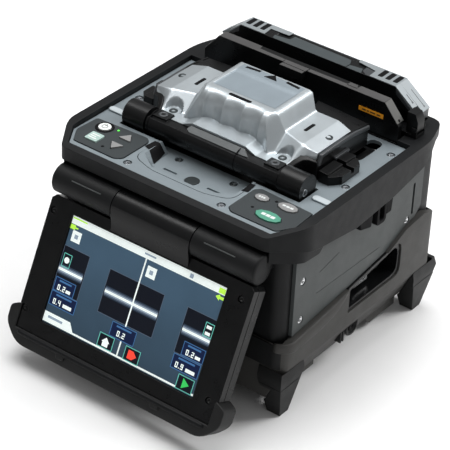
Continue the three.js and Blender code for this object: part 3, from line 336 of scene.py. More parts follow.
def add_screw(bm, centre, axis, scale=1.0):
    """A cap screw with a hexagon socket, its face level with centre."""
    profile = [(radius * scale, height * scale) for radius, height in SCREW_PROFILE[:-1]]
    add_turned(bm, profile, centre, axis, 24, (3, 4))


# ------------------------------------------------------------------ CAD nodes

EDGE_WIDTH = {
    "lower_case": 1.6, "upper_case": 0.8, "top_rim": 1.3, "top_panel": 0.3, "front_tray": 0.5,
    "front_boot_left": 2.6, "front_boot_right": 2.6, "rear_boot_left": 1.6, "rear_boot_right": 1.6,
    "side_panel_left": 0.5, "side_panel_right": 0.5, "port_panel": 0.5, "monitor_back": 1.2,
    "monitor_bezel": 1.2, "monitor_bumper": 3.0, "heater_jaw_front": 0.6, "heater_jaw_rear": 0.6,
    "cover_frame": 0.6, "cover_tube": 0.5, "bearing_cap_left": 0.8, "bearing_cap_right": 0.8,
    "fiber_rest_left": 0.5, "fiber_rest_right": 0.5, "heater_clamp_left": 0.5,
    "heater_clamp_right": 0.5, "battery_pack": 0.7,
}
FINE_EDGE = 0.25
SLOT_OF = {entry["node"]: entry["material_slot"] for entry in frame["record"]["subparts"]}

for node_name, node in frame["nodes"].items():
    mesh_data = node.data
    mesh_data.materials.clear()
    mesh_data.materials.append(LOOKS[SLOT_OF[node_name]])
    if "custom_normal" in mesh_data.attributes:
        mesh_data.attributes.remove(mesh_data.attributes["custom_normal"])
    for polygon in mesh_data.polygons:
        polygon.use_smooth = True
    weld = node.modifiers.new("weld", "WELD")
    weld.merge_threshold = 0.01 * MM
    merge = node.modifiers.new("flat", "DECIMATE")
    merge.decimate_type = "DISSOLVE"
    merge.angle_limit = math.radians(0.6)
    soften(node, EDGE_WIDTH.get(node_name, FINE_EDGE), 3 if node_name == "monitor_bumper" else 2)

# ------------------------------------------------------------------ wind cover skin

DOME_HALF = 24.4
DOME_FRONT = -14.5
DOME_REACH = 9.7
DOME_BACK = 19.0
DOME_ROUND = 2.6
FLUTE_HALF = 6.4
FLUTE_DEPTH = 1.9
CORNER_FLUTE = 23.4
CORNER_FLUTE_HALF = 4.2
INSET_HALF = 21.7
INSET_FRONT = -12.4
INSET_BACK = 16.6
INSET_DEPTH = 0.4
APRON_TOP = 134.4
APRON_EDGE = -34.2
APRON_FLAT = 18.5
APRON_RAMP = 25.6
PAD_X = 38.2
PAD_Y = -26.3
PAD_Z = 131.3
SCOOP_RADIUS = 5.0
WING_TOP = 139.8
WING_INNER = 29.0
WING_FOLD = 46.0
COVER_HALF = 55.9
WING_CREASE = [(29, -13.4), (31, -14.0), (45, -18.7), (50, -19.4), (56, -18.7)]
WING_END = [(43.9, -30.4), (45.4, -27.0), (47.5, -22.8), (50.5, -21.4), (56, -19.6)]
WING_BACK = [(24, 19.0), (30, 15.1), (46, 15.1), (56, 13.0)]


def between(table, x):
    """Straight-line reading of a table of (x, value) pairs."""
    for (x0, y0), (x1, y1) in zip(table, table[1:]):
        if x <= x1:
            return y0 + (y1 - y0) * max(x - x0, 0) / (x1 - x0)
    return table[-1][1]


def smooth_step(value):
    value = min(max(value, 0), 1)
    return value * value * (3 - 2 * value)


def soft_min(a, b, radius):
    blend = max(radius - abs(a - b), 0) / radius
    return min(a, b) - blend * blend * radius / 4


def soft_max(a, b, radius):
    return -soft_min(-a, -b, radius)


def flute(x):
    """How far the dome's front is hollowed between the sharp edges of its flutes."""
    if x < 3 * FLUTE_HALF:
        off = (x + FLUTE_HALF) % (2 * FLUTE_HALF) - FLUTE_HALF
        return FLUTE_DEPTH * (1 - (off / FLUTE_HALF) ** 2)
    off = (x - CORNER_FLUTE) / CORNER_FLUTE_HALF
    return 0.8 * FLUTE_DEPTH * max(1 - off * off, 0)


def dome_height(x, y, ground):
    reach = DOME_REACH + 0.35 * max(x - 18, 0) - flute(x)
    run = min(max((DOME_FRONT - y) / reach, 0), 1)
    front = ground - 2 + (COVER_TOP - ground + 2) * (1 - run ** DOME_ROUND) ** (1 / DOME_ROUND)
    flank = COVER_TOP + 0.7 - 1.66 * (x - DOME_HALF) - 0.85 * max(DOME_FRONT - y, 0)
    back = COVER_TOP + 0.3 - max(y - DOME_BACK + 1.4, 0) * 2.2
    return soft_min(soft_min(front, flank, 2.4), back, 1.0)


def apron_height(x):
    fall = min(max((x - APRON_FLAT) / (APRON_RAMP - APRON_FLAT), 0), 1)
    return APRON_TOP - (APRON_TOP - PAD_Z) * fall


def wing_height(x, y):
    top = WING_TOP - max(x - WING_FOLD, 0) * 0.19
    steep = 0.82 + 1.1 * smooth_step((x - 44) / 10)
    return soft_min(top, top - steep * (between(WING_CREASE, x) - y), 0.35)


def cover_height(x, y):
    x = abs(x)
    ground = apron_height(x)
    low = ground
    if x > WING_INNER:
        low = soft_max(ground, wing_height(x, y), 0.6)
    from_screw = math.hypot(x - PAD_X, max(y - PAD_Y, 0))
    if x > 31:
        low = min(low, PAD_Z + 5 * max(from_screw - SCOOP_RADIUS, 0))
    height = soft_max(dome_height(x, y, ground), low, 1.0)
    border = min(INSET_HALF - x, y - INSET_FRONT)
    fade = smooth_step((11 - y) / 5)
    return height - INSET_DEPTH * smooth_step(border / 0.6) * fade


def front_edge(x):
    x = abs(x)
    if x < 33.6:
        return APRON_EDGE
    if x < 43.9:
        return -30.3
    return between(WING_END, x)


def back_edge(x):
    return between(WING_BACK, abs(x))


def build_cover_skin(rows=116, pitch=0.5):
    columns = {pitch * k for k in range(int(-COVER_HALF / pitch), int(COVER_HALF / pitch) + 1)}
    for x in (33.58, 33.62, 43.88, 43.92, COVER_HALF):
        columns |= {-x, x}
    bm = bmesh.new()
    grid = []
    for x in sorted(columns):
        y0 = front_edge(x)
        y1 = back_edge(x)
        steps = [y0 + (y1 - y0) * j / rows for j in range(rows + 1)]
        grid.append([bm.verts.new(at(x, y, cover_height(x, y))) for y in steps])
    for left, right in zip(grid, grid[1:]):
        for j in range(rows):
            bm.faces.new((left[j], right[j], right[j + 1], left[j + 1]))
    border = [column[0] for column in grid] + grid[-1][1:]
    border += [column[-1] for column in reversed(grid[:-1])] + grid[0][-2:0:-1]
    hem = []
    for vertex in border:
        x, y, z = vertex.co / MM
        hem.append(bm.verts.new(Vector((x, y, min(131.2, z - 0.5) if z < 136 else z - 2.2)) * MM))
    for k, (vertex, low) in enumerate(zip(border, hem)):
        n = (k + 1) % len(border)
        bm.faces.new((vertex, border[n], hem[n], low))
    piece = finish_piece(bm, "wind_cover_skin", "silver_cover", "wind_cover")
    piece.data.materials.append(LOOKS["inset_silver"])
    for polygon in piece.data.polygons:
        x, y, z = (piece.matrix_world @ polygon.center) / MM
        inside = abs(x) < INSET_HALF - 0.4 and INSET_FRONT + 0.4 < y - CASE_SHIFT < INSET_BACK
        polygon.material_index = 1 if inside and z > COVER_TOP - 2 else 0
    crisp = piece.modifiers.new("crisp", "EDGE_SPLIT")
    crisp.split_angle = math.radians(34)
    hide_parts("cover_shell")


build_cover_skin()


def drape(bm, outline, height, lift=0.06, sink=0.5):
    """A thin patch that lies on a surface given as a height over (x, y)."""
    upper = [bm.verts.new(at(x, y, height(x, y) + lift)) for x, y in outline]
    lower = [bm.verts.new(at(x, y, height(x, y) - sink)) for x, y in outline]
    bm.faces.new(upper)
    bm.faces.new(lower[::-1])
    for i in range(len(outline)):
        j = (i + 1) % len(outline)
        bm.faces.new((upper[i], upper[j], lower[j], lower[i]))


def cover_marks():
    """Vent slots and the arrow that says which way the cover opens; the slots are black patches on the skin,
    painted shade in place of recesses that are not cut.
    """
    bm = bmesh.new()
    for side in (-1, 1):
        near, far = side * 9.2, side * 18.6
        drape(bm, [(near, 14.8), (far, 13.7), (far, 15.6), (near, 16.7)], cover_height, 0.15)
        drape(bm, rounded(side * 38.4 - 1.1, -6.6, side * 38.4 + 1.1, 2.8, 0.7, 3), cover_height, 0.12)
    drape(bm, [(-4.4, 12.6), (4.2, 12.6), (0, 17.6)], lambda x, y: COVER_TOP - 0.1, 0.2)
    drape(bm, rounded(-7.7, -16.7, 7.7, -14.5, 0.9, 3), cover_height, 0.1)
    finish_piece(bm, "cover_slots", "void_black", "wind_cover", smooth=False)


cover_marks()


def cover_arms():
    """Black arms that wrap the shell's front corners and run down to the tube's lugs."""
    inner = [(44.2, -36.4, 128.4), (44.3, -30.6, 131.4), (45.8, -26.8, 133.4), (47.9, -22.8, 135.0),
             (50.8, -21.2, 135.2), (56.2, -19.6, 133.6)]
    outer = [(46.2, -37.0, 127.6), (47.0, -31.0, 130.4), (48.6, -27.4, 132.2), (50.6, -24.4, 133.8),
             (53.2, -22.8, 134.0), (57.6, -20.4, 132.8)]
    for label, side in SIDES:
        bm = bmesh.new()
        rings = []
        for (xi, yi, zi), (xo, yo, zo) in zip(inner, outer):
            points = [(xi, yi, zi - 5), (xi, yi, zi + 0.5), (xo, yo, zo + 0.3), (xo, yo, 124.0)]
            rings.append([bm.verts.new(at(side * x, y, z)) for x, y, z in points])
        for first, second in zip(rings, rings[1:]):
            for i in range(4):
                j = (i + 1) % 4
                bm.faces.new((first[i], first[j], second[j], second[i]))
        bm.faces.new(rings[0])
        bm.faces.new(rings[-1][::-1])
        finish_piece(bm, f"cover_arm_{label}", "satin_black", "wind_cover", bevel=0.5)


cover_arms()


def cover_frame_trims():
    """Thick rolled border and grip bar on each black skirt, and the plates behind the wings."""
    border = [(-20.6, 131.0), (-17.9, 137.4), (2, 137.9), (14, 137.6), (29.4, 135.2), (29.4, 132.2),
              (14, 134.4), (2, 134.9), (-16.2, 134.6), (-18.0, 130.2)]
    for label, side in SIDES:
        bm = bmesh.new()
        add_prism(bm, border, 55.95, 58.3, facing_x(side))
        finish_piece(bm, f"skirt_border_{label}", "tube_grey", "wind_cover", bevel=1.0,
                     segments=3)
        bm = bmesh.new()
        add_prism(bm, rounded(-4.6, 127.9, 9.2, 129.7, 0.85, 4), 56.8, 58.9, facing_x(side))
        finish_piece(bm, f"skirt_grip_{label}", "tube_grey", "wind_cover", bevel=0.4)
        bm = bmesh.new()
        corners = [(25.5, 19.4, 137.9), (30.8, 15.5, 138.0), (46, 15.5, 138.0), (56, 13.4, 137.8),
                   (56, 29.4, 135.6), (22, 29.4, 137.3)]
        upper = [bm.verts.new(at(side * x, y, z)) for x, y, z in corners]
        lower = [bm.verts.new(at(side * x, y, z - 1.6)) for x, y, z in corners]
        bm.faces.new(upper)
        bm.faces.new(lower[::-1])
        for i in range(len(corners)):
            j = (i + 1) % len(corners)
            bm.faces.new((upper[i], upper[j], lower[j], lower[i]))
        finish_piece(bm, f"shoulder_plate_{label}", "satin_black", "wind_cover",
                     smooth=False, bevel=0.3)


cover_frame_trims()


def tube_trims():
    """A grey slab that paints the light's reflection on the tube's satin black front facet, and the tube's
    split lines.
    """
    lean = math.atan2(3.0, 5.6)

    def on_facet(x, down, depth):
        return at(x, -34.6 - down * math.cos(lean) - depth * math.sin(lean),
                  133.1 - down * math.sin(lean) + depth * math.cos(lean))

    bm = bmesh.new()
    # Grey slab on the satin black facet: a painted reflection of the light.
    add_prism(bm, [(-18.6, 0.2), (18.6, 0.2), (23.4, 4.2), (21.0, 4.6), (-17.4, 4.6), (-20.0, 3.0)],
              -0.3, 0.25, on_facet)
    finish_piece(bm, "tube_facet_sheen", "sheen_and_line_grey", "wind_cover", bevel=0.2)
    bm = bmesh.new()
    for x in (-44.2, 16.4):
        add_turned(bm, [(7.1, -0.25), (7.55, -0.2), (7.55, 0.2), (7.1, 0.25)],
                   at(x, -35, 125.5), (1, 0, 0), 40)
    finish_piece(bm, "tube_rings", "void_black", "wind_cover")


tube_trims()

# ------------------------------------------------------------------ screws


def screws(name, places, look, body, scale=1.0):
    bm = bmesh.new()
    for centre, axis in places:
        add_screw(bm, centre, axis, scale)
    finish_piece(bm, name, look, body)


UP = (0, 0, 1)
DECK_SCREWS = [(32.6, -73.4), (72.7, -14.3), (72.7, 30.3)]
TRAY_SCREW = (19.1, -44.3)
SIDE_SCREWS = [(-59.4, 85.3), (-59.4, 59.7), (43.3, 73.9), (43.3, 104.0)]
SCREEN_NORMAL = (0, -math.cos(SCREEN_TILT), math.sin(SCREEN_TILT))

screws("deck_screws", [(at(s * x, y, DECK - 0.3), UP) for x, y in DECK_SCREWS for s in (-1, 1)],
       "screw_grey", "main_unit")
screws("tray_screws", [(at(s * TRAY_SCREW[0], TRAY_SCREW[1], TRAY_FLOOR - 0.1), UP) for s in (-1, 1)],
       "magnet_dark", "main_unit")
screws("side_panel_screws", [(at(s * 79.5, y, z), (s, 0, 0)) for y, z in SIDE_SCREWS for s in (-1, 1)],
       "chrome", "main_unit", 1.25)
screws("cover_screws",
       [(at(s * 51.3, -1.8, 139.1), UP) for s in (-1, 1)]
       + [(at(s * PAD_X, PAD_Y, 131.9), UP) for s in (-1, 1)],
       "magnet_dark", "wind_cover", 1.2)
screws("hinge_lug_screws", [(at(s * 39, -34.4, 132.7), UP) for s in (-1, 1)],
       "tube_grey", "wind_cover", 1.35)
screws("bezel_screws", [(on_screen(x, SCREEN_FACE + 0.5, z), SCREEN_NORMAL) for x in (-67.4, 64.6)
                        for z in (-19, -78)], "satin_black", "monitor", 0.95)
screws("axle_screws", [(at(s * 62.3, -37.5, 123.8), (s, 0, 0)) for s in (-1, 1)],
       "steel", "main_unit", 1.2)

# ------------------------------------------------------------------ display


def screen_piece(name, color, shapes, lift):
    """Flat shapes of one colour on the display, each an outline in display millimetres."""
    bm = bmesh.new()
    for outline in shapes:
        add_prism(bm, outline, lift, lift + 0.03, on_display)
    finish_piece(bm, "screen_" + name, "screen_" + color, "monitor", smooth=False)


def rect(x0, y0, x1, y1):
    return [(x0, y0), (x1, y0), (x1, y1), (x0, y1)]


def frame_bars(x, y, width, height, line=0.4):
    """Four bars that outline a box centred on x, y."""
    x0, x1 = x - width / 2, x + width / 2
    y0, y1 = y - height / 2, y + height / 2
    return [rect(x0, y0, x1, y0 + line), rect(x0, y1 - line, x1, y1),
            rect(x0, y0, x0 + line, y1), rect(x1 - line, y0, x1, y1)]


DIGIT_BARS = {"0": "abcdef", "2": "abged", "4": "fgbc", "9": "abcdfg"}


def digit(symbol, x, y, height):
    """A numeral of seven bars, its top left corner at x, y."""
    width = height * 0.55
    line = height * 0.17
    middle = y + height / 2
    bars = {
        "a": rect(x, y, x + width, y + line), "g": rect(x, middle - line / 2, x + width, middle + line / 2),
        "d": rect(x, y + height - line, x + width, y + height), "f": rect(x, y, x + line, middle),
        "b": rect(x + width - line, y, x + width, middle), "e": rect(x, middle, x + line, y + height),
        "c": rect(x + width - line, middle, x + width, y + height),
    }
    return [bars[key] for key in DIGIT_BARS[symbol]]


def reading(first, second, x, y, height=3.2):
    """A value such as 0.2 drawn with bar numerals."""
    step = height * 0.55 + 0.7
    dot = rect(x + step, y + height - 0.6, x + step + 0.6, y + height)
    return digit(first, x, y, height) + [dot] + digit(second, x + step + 1.2, y, height)


SCREEN_MIDDLE = 54.1
WINDOWS = [(0, 17.6, 18.6, 44.6), (33.3, 18.6, 72.2, 44.4), (88.1, 18.8, DISPLAY_WIDTH, 45.4)]
VALUE_BOXES = [(8.0, 40.4, 14.6, 8.2), (9.8, 48.8, 18.6, 8.4), (53.8, 49.4, 17.4, 8.6),
               (100.2, 41.0, 14.8, 8.2), (98.0, 49.8, 18.6, 8.4)]
BUTTONS = [(44.6, 58.0, 10.6, 8.2), (63.4, 58.4, 10.6, 8.2), (101.0, 59.2, 11.0, 8.4)]

screen_piece("field", "back", [rect(0, 0, DISPLAY_WIDTH, DISPLAY_HEIGHT)], -0.05)
screen_piece("windows", "dark", [rect(*window) for window in WINDOWS], 0.0)
screen_piece("window_frames", "mist", [bar for x0, y0, x1, y1 in WINDOWS for bar in frame_bars(
    (x0 + x1) / 2, (y0 + y1) / 2, x1 - x0, y1 - y0, 0.3)], 0.02)
screen_piece("value_fields", "navy", [rect(x - w / 2, y - h / 2, x + w / 2, y + h / 2)
                                      for x, y, w, h in VALUE_BOXES], 0.08)
screen_piece("value_frames", "outline",
             [bar for box in VALUE_BOXES for bar in frame_bars(*box)]
             + [rect(x - w * 0.3, y - h / 2 + 1.2, x + w * 0.3, y - h / 2 + 2.2)
                for x, y, w, h in VALUE_BOXES], 0.12)
screen_piece("button_fields", "dark", [rect(x - w / 2, y - h / 2, x + w / 2, y + h / 2)
                                       for x, y, w, h in BUTTONS], 0.08)
screen_piece("button_frames", "teal",
             [bar for box in BUTTONS for bar in frame_bars(*box)]
             + [bar for x in (4.3, 105.0) for bar in frame_bars(x, 25.8, 5.8, 8.0)], 0.12)


def fiber_glow(x0, x1, y=31.5, half=3.0):
    """Stripes of a fiber picture, bright in the middle and dim at its edges."""
    levels = [("haze", 1.0), ("mist", 0.76), ("grey", 0.5), ("white", 0.24)]
    return [(color, rect(x0, y - half * reach, x1, y + half * reach), 0.03 + 0.012 * level)
            for level, (color, reach) in enumerate(levels)]


for number, (left, right) in enumerate([(0.4, 17.6), (34.2, 71.4), (89.0, DISPLAY_WIDTH - 0.4)]):
    for color, stripe, lift in fiber_glow(left, right):
        screen_piece(f"fiber_{number}_{color}", color, [stripe], lift)

screen_piece("lines", "white", [
    rect(0, 0, DISPLAY_WIDTH, 4.6), rect(SCREEN_MIDDLE - 0.45, 4.6, SCREEN_MIDDLE + 0.45, 45.0),
    rect(SCREEN_MIDDLE - 0.45, 53.8, SCREEN_MIDDLE + 0.45, 63.2),
    rect(0, 62.2, DISPLAY_WIDTH, 63.3), [(0, 57.4), (18.5, 57.4), (22.0, 62.4), (0, 62.4)],
    rect(2.6, 7.8, 9.0, 14.2), rect(56.4, 7.6, 62.8, 14.0),
], 0.07)
screen_piece("readings", "white",
             reading("0", "2", 3.4, 40.2) + reading("0", "4", 3.2, 48.6) + reading("0", "2", 50.0, 49.0)
             + reading("0", "2", 95.6, 40.8) + reading("0", "9", 91.4, 49.6)
             + [rect(9.6, 41.4, 12.8, 43.2), rect(10.4, 49.6, 16.6, 51.6), rect(102, 42.0, 105.4, 43.8),
                rect(98.6, 50.8, 104.8, 52.8)]
             + [[(41.8, 58.4), (44.6, 55.6), (47.4, 58.4)], rect(42.6, 58.4, 46.6, 61.0)]
             + [ellipse(4.3, 25.6, 1.8, 1.8, 16)]
             + [rect(103.2, 23.4, 106.6, 25.2), rect(103.2, 27.0, 106.6, 28.8)], 0.15)
screen_piece("lime_marks", "lime", [rect(0, 5.0, 3.6, 7.6), rect(3.6, 5.9, 5.6, 6.7),
                                    rect(0.4, 0.8, 10.5, 1.6), rect(103.6, 1.2, 107.8, 4.2),
                                    [(102.6, 6.6), (105.2, 4.8), (105.2, 8.4)],
                                    rect(105.2, 5.8, 108.0, 7.4)], 0.1)
screen_piece("grey_marks", "grey", [rect(52, 1.6, 60, 2.6), rect(3.0, 59.2, 13.5, 60.6),
                                    rect(4.6, 9.8, 7.0, 12.2), rect(58.4, 9.6, 60.8, 12.0),
                                    rect(83.6, 1.2, 86.0, 3.6)], 0.13)
screen_piece("red_mark", "red", [rect(60.6, 55.9, 64.0, 60.9),
                                 [(64.0, 55.9), (66.6, 58.4), (64.0, 60.9)]], 0.15)
screen_piece("green_mark", "green", [[(99.2, 56.2), (103.8, 59.2), (99.2, 62.2)]], 0.15)

# ------------------------------------------------------------------ monitor trims


NECK_SIDE = [(-9.0, -0.6), (-8.3, -3.8), (-6.6, -7.4), (-4.6, -10.2), (-3.2, -13.0), (-2.4, -15.8),
             (-2.0, -15.8), (-2.0, -6), (-7, 0)]


def monitor_trims():
    """Smooth neck below the middle barrel, the bumper's roll and clips, sloping lip of the display."""
    bm = bmesh.new()
    add_prism(bm, NECK_SIDE, -27.2, 27.2, lambda y, z, x: on_screen(x, y, z))
    finish_piece(bm, "monitor_neck", "satin_black", "monitor", bevel=0.3)
    bm = bmesh.new()
    for x in (-34, 34):
        add_prism(bm, rounded(x - 3, -96.4, x + 3, -92.2, 1.2, 3), SCREEN_FACE - 1.9, SCREEN_FACE + 0.5,
                  lambda x, z, depth: on_screen(x, depth, z))
    finish_piece(bm, "bumper_clips", "boot_rubber", "monitor", bevel=0.7)
    bm = bmesh.new()
    add_turned(bm, [(0.4, -67), (1.3, -66), (1.6, -64), (1.6, 64), (1.3, 66), (0.4, 67)],
               on_screen(0, SCREEN_FACE - 0.8, -92.4), (1, 0, 0), 20)
    finish_piece(bm, "bumper_roll", "rim_rubber", "monitor")
    bm = bmesh.new()
    half = DISPLAY_WIDTH / 2
    outer = rect(-half - 1.4, DISPLAY_TOP - DISPLAY_HEIGHT - 1.4, half + 1.4, DISPLAY_TOP + 1.4)
    inner = rect(-half, DISPLAY_TOP - DISPLAY_HEIGHT, half, DISPLAY_TOP)
    rings = []
    for outline, depth in ((outer, SCREEN_FACE - 0.05), (inner, DISPLAY_DEPTH - 0.3),
                           (outer, DISPLAY_DEPTH)):
        rings.append([bm.verts.new(on_screen(x, depth, z)) for x, z in outline])
    for a, b in ((0, 1), (1, 2), (2, 0)):
        for i in range(4):
            j = (i + 1) % 4
            bm.faces.new((rings[a][i], rings[a][j], rings[b][j], rings[b][i]))
    finish_piece(bm, "display_lip", "void_black", "monitor", smooth=False)


monitor_trims()


BARREL_CAP = [(8.9, -0.4), (8.9, 0.0), (8.4, 0.5), (6.8, 0.9), (0.8, 1.1)]


def barrel_trims():
    """Thin raised lines along the two case barrels and the smooth caps on their outer ends."""
    lines = bmesh.new()
    caps = bmesh.new()
    angle = math.radians(140)
    y = SCREEN_AXIS[0] + 9.0 * math.cos(angle)
    z = SCREEN_AXIS[1] + 9.0 * math.sin(angle)
    for side in (-1, 1):
        x0, x1 = sorted((side * 36, side * 57))
        add_box(lines, (x0, y - 0.3, z - 0.3), (x1, y + 0.3, z + 0.3))
        add_turned(caps, BARREL_CAP, at(side * 70, *SCREEN_AXIS), (side, 0, 0), 32)
    finish_piece(lines, "barrel_lines", "panel_grey", "main_unit", bevel=0.15)
    finish_piece(caps, "barrel_caps", "case_black", "main_unit")


barrel_trims()

# ------------------------------------------------------------------ keypads


def keypad_marks():
    """Generic signs on the keys: rows of bars, a power ring and short lines."""
    white = bmesh.new()
    dark = bmesh.new()
    for key, x, y, width in (("small_oval_key", 45.8, -54.4, 4.4), ("reset_key", 62.2, -53.2, 7.4),
                             ("set_key", 59.2, -67.0, 9.0)):
        bm = bmesh.new()
        top = KEYPAD + 0.8
        height = 0.7 if key != "set_key" else 1.1
        count = 3
        for k in range(count):
            left = x - width / 2 + k * width / count
            add_prism(bm, rounded(left + 0.2, y - height, left + width / count - 0.2, y + height, 0.3, 2),
                      top - 0.1, top + 0.06, at)
        finish_piece(bm, key + "_mark", "key_mark", key + "_cap", smooth=False)
    ring = [(1.9, 0), (1.9, 0.12), (1.45, 0.12), (1.45, 0)]
    add_ring(dark, ring, at(-65.3, -53.9, KEYPAD + 0.78))
    add_box(dark, (-65.55, -53.4, KEYPAD + 0.78), (-65.05, -51.4, KEYPAD + 0.92))
    finish_piece(dark, "power_key_mark", "dark_mark", "power_key_cap", smooth=False)
    for end, y in ((-60.0, -64.6), (-61.6, -66.4), (-60.0, -68.2)):
        add_prism(white, rounded(-65.6, y, end, y + 0.8, 0.3, 2), KEYPAD + 0.7, KEYPAD + 0.88, at)
    finish_piece(white, "menu_key_mark", "key_white", "menu_key_cap", smooth=False)


def add_ring(bm, profile, centre, steps=28):
    """A closed ring turned about the vertical through centre."""
    rings = []
    for radius, height in profile:
        ring = []
        for k in range(steps):
            angle = 2 * math.pi * k / steps
            local = Vector((radius * math.cos(angle), radius * math.sin(angle), height)) * MM
            ring.append(bm.verts.new(centre + local))
        rings.append(ring)
    for a in range(len(rings)):
        b = (a + 1) % len(rings)
        for k in range(steps):
            n = (k + 1) % steps
            bm.faces.new((rings[a][k], rings[a][n], rings[b][n], rings[b][k]))


keypad_marks()


def keypad_trims():
    bm = bmesh.new()
    collar = [(5.6, 0), (5.6, 0.3), (4.4, 0.5), (4.3, 0)]
    add_ring(bm, collar, at(-65.3, -53.9, KEYPAD - 0.05))
    for x, y in ((-53.2, -70.3), (53.8, -52.0), (47.0, -64.6)):
        add_turned(bm, [(0.95, 0), (0.95, 0.12), (0.6, 0.14)], at(x, y, KEYPAD - 0.05), UP, 16)
    finish_piece(bm, "keypad_dots", "void_black", "main_unit")
    bm = bmesh.new()
    add_turned(bm, [(0.7, 0), (0.7, 0.2), (0.4, 0.4)], at(-57.3, -51.5, KEYPAD - 0.05), UP, 16)
    finish_piece(bm, "status_lamp", "led_green", "main_unit")


keypad_trims()

# ------------------------------------------------------------------ heater trims


def slope_place(side, top, foot):
    """Placing function for a jaw's sloping end: distance down the slope, y, height above it."""
    (x0, z0), (x1, z1) = top, foot
    angle = math.atan2(z0 - z1, x1 - x0)

    def place(a, b, depth):
        x = x0 + a * math.cos(angle) + depth * math.sin(angle)
        z = z0 - a * math.sin(angle) + depth * math.cos(angle)
        return at(side * x, b, z)

    return place


REAR_JAW_TOP = 146.5
REAR_JAW_EDGE = 57.6
REAR_JAW_BACK = 69.9
FRONT_JAW_TOP = 144.5
FRONT_JAW_EDGE = 41.85


def rear_jaw_trims():
    """Silver caps with vents on both ends of the rear jaw and the stepped dark inlay between them."""
    top = REAR_JAW_TOP
    y0, y1 = REAR_JAW_EDGE, REAR_JAW_BACK
    bm = bmesh.new()
    add_prism(bm, [(-55, y0), (-37.6, y0), (-38.4, 65.2), (-25.4, 65.6), (-25, y1), (-55, y1)],
              top, top + 0.6, at)
    add_prism(bm, [(55, y0), (55, y1), (22.5, y1), (23.4, 67), (30, 65.9), (36.6, 64.6), (36.9, y0)],
              top, top + 0.6, at)
    add_prism(bm, rect(-25, y1 - 0.5, 22.5, y1), top - 0.3, top + 0.25, at)
    wedge = [(54.9, top), (54.9, top + 0.6), (71.8, 134.4), (71.6, 133.9), (69, 133.5)]
    short = {1: [(54.9, top), (54.9, top + 0.6), (67.9, 137.2), (67, 135.4)],
             -1: [(54.9, top), (54.9, top + 0.6), (63.2, 140.4), (62.4, 139.6)]}
    for side in (-1, 1):
        add_prism(bm, [(side * x, z) for x, z in wedge], 62.2, y1, facing_y)
        add_prism(bm, [(side * x, z) for x, z in short[side]], y0, 62.3, facing_y)
    finish_piece(bm, "jaw_caps", "cap_silver", "rear_jaw", bevel=0.2)

    # Vent slots as black patches on the caps: painted shade in place of cut openings.
    bm = bmesh.new()
    for side in (-1, 1):
        for x in (41.9, 47.1, 52.2):
            slot = rounded(side * x - 1.6, 60.7, side * x + 1.6, 69, 0.7, 3)
            add_prism(bm, slot, top + 0.1, top + 0.66, at)
    finish_piece(bm, "jaw_vents", "void_black", "rear_jaw", smooth=False)

    bm = bmesh.new()
    add_prism(bm, [(-31.7, y0 + 0.1), (-32.7, 61.3), (-24.3, 62.2), (-22.7, 62.8), (-22.1, 67.3),
                   (18.6, 66.2), (20.6, 62), (20.2, y0 + 0.1)], top - 0.7, top + 0.15, at)
    add_prism(bm, [(20.8, y0 + 0.1), (21.2, 61.4), (29.2, 62.6), (31.2, y0 + 0.1)],
              top - 0.7, top + 0.02, at)
    finish_piece(bm, "jaw_inlay", "inlay_grey", "rear_jaw", bevel=0.1)
    bm = bmesh.new()
    add_prism(bm, [(30.6, 60.3), (34.4, y0 + 0.1), (36.5, y0 + 0.1), (36.4, 64.2), (30.1, 65.1)],
              top - 0.7, top + 0.2, at)
    finish_piece(bm, "jaw_inlay_tile", "tube_grey", "rear_jaw", bevel=0.1)

    bm = bmesh.new()
    lines = ((7.4, 13.2, 60.6), (6.6, 18.6, 66.4))
    for side in (-1, 1):
        place = slope_place(side, (54.9, top + 0.6), (71.8, 134.4))
        for start, end, y in lines:
            add_prism(bm, rect(start, y - 0.18, end, y + 0.18), -0.2, 0.07, place)
            add_prism(bm, ellipse(end, y, 0.55, 0.55, 12), -0.2, 0.09, place)
    finish_piece(bm, "jaw_cap_lines", "sheen_and_line_grey", "rear_jaw", smooth=False)

    bm = bmesh.new()
    for side in (-1, 1):
        bevel = [(55.4, 145.9), (62.9, 139.4), (60.6, 139.2), (55.9, 142.2)]
        if side > 0:
            bevel = [(55.4, 145.9), (67.6, 134.9), (64.8, 135.2), (55.9, 142.2)]
        add_prism(bm, [(side * x, z) for x, z in bevel], y0 - 0.3, y0 + 0.1, facing_y)
        foot = [(68.6, 133.4), (71.4, 133.9), (71.2, 128.6), (68.6, 128.2)]
        add_prism(bm, [(side * x, z) for x, z in foot], 62.6, y1 - 0.4, facing_y)
    finish_piece(bm, "jaw_end_bevels", "tube_grey", "rear_jaw", bevel=0.12)


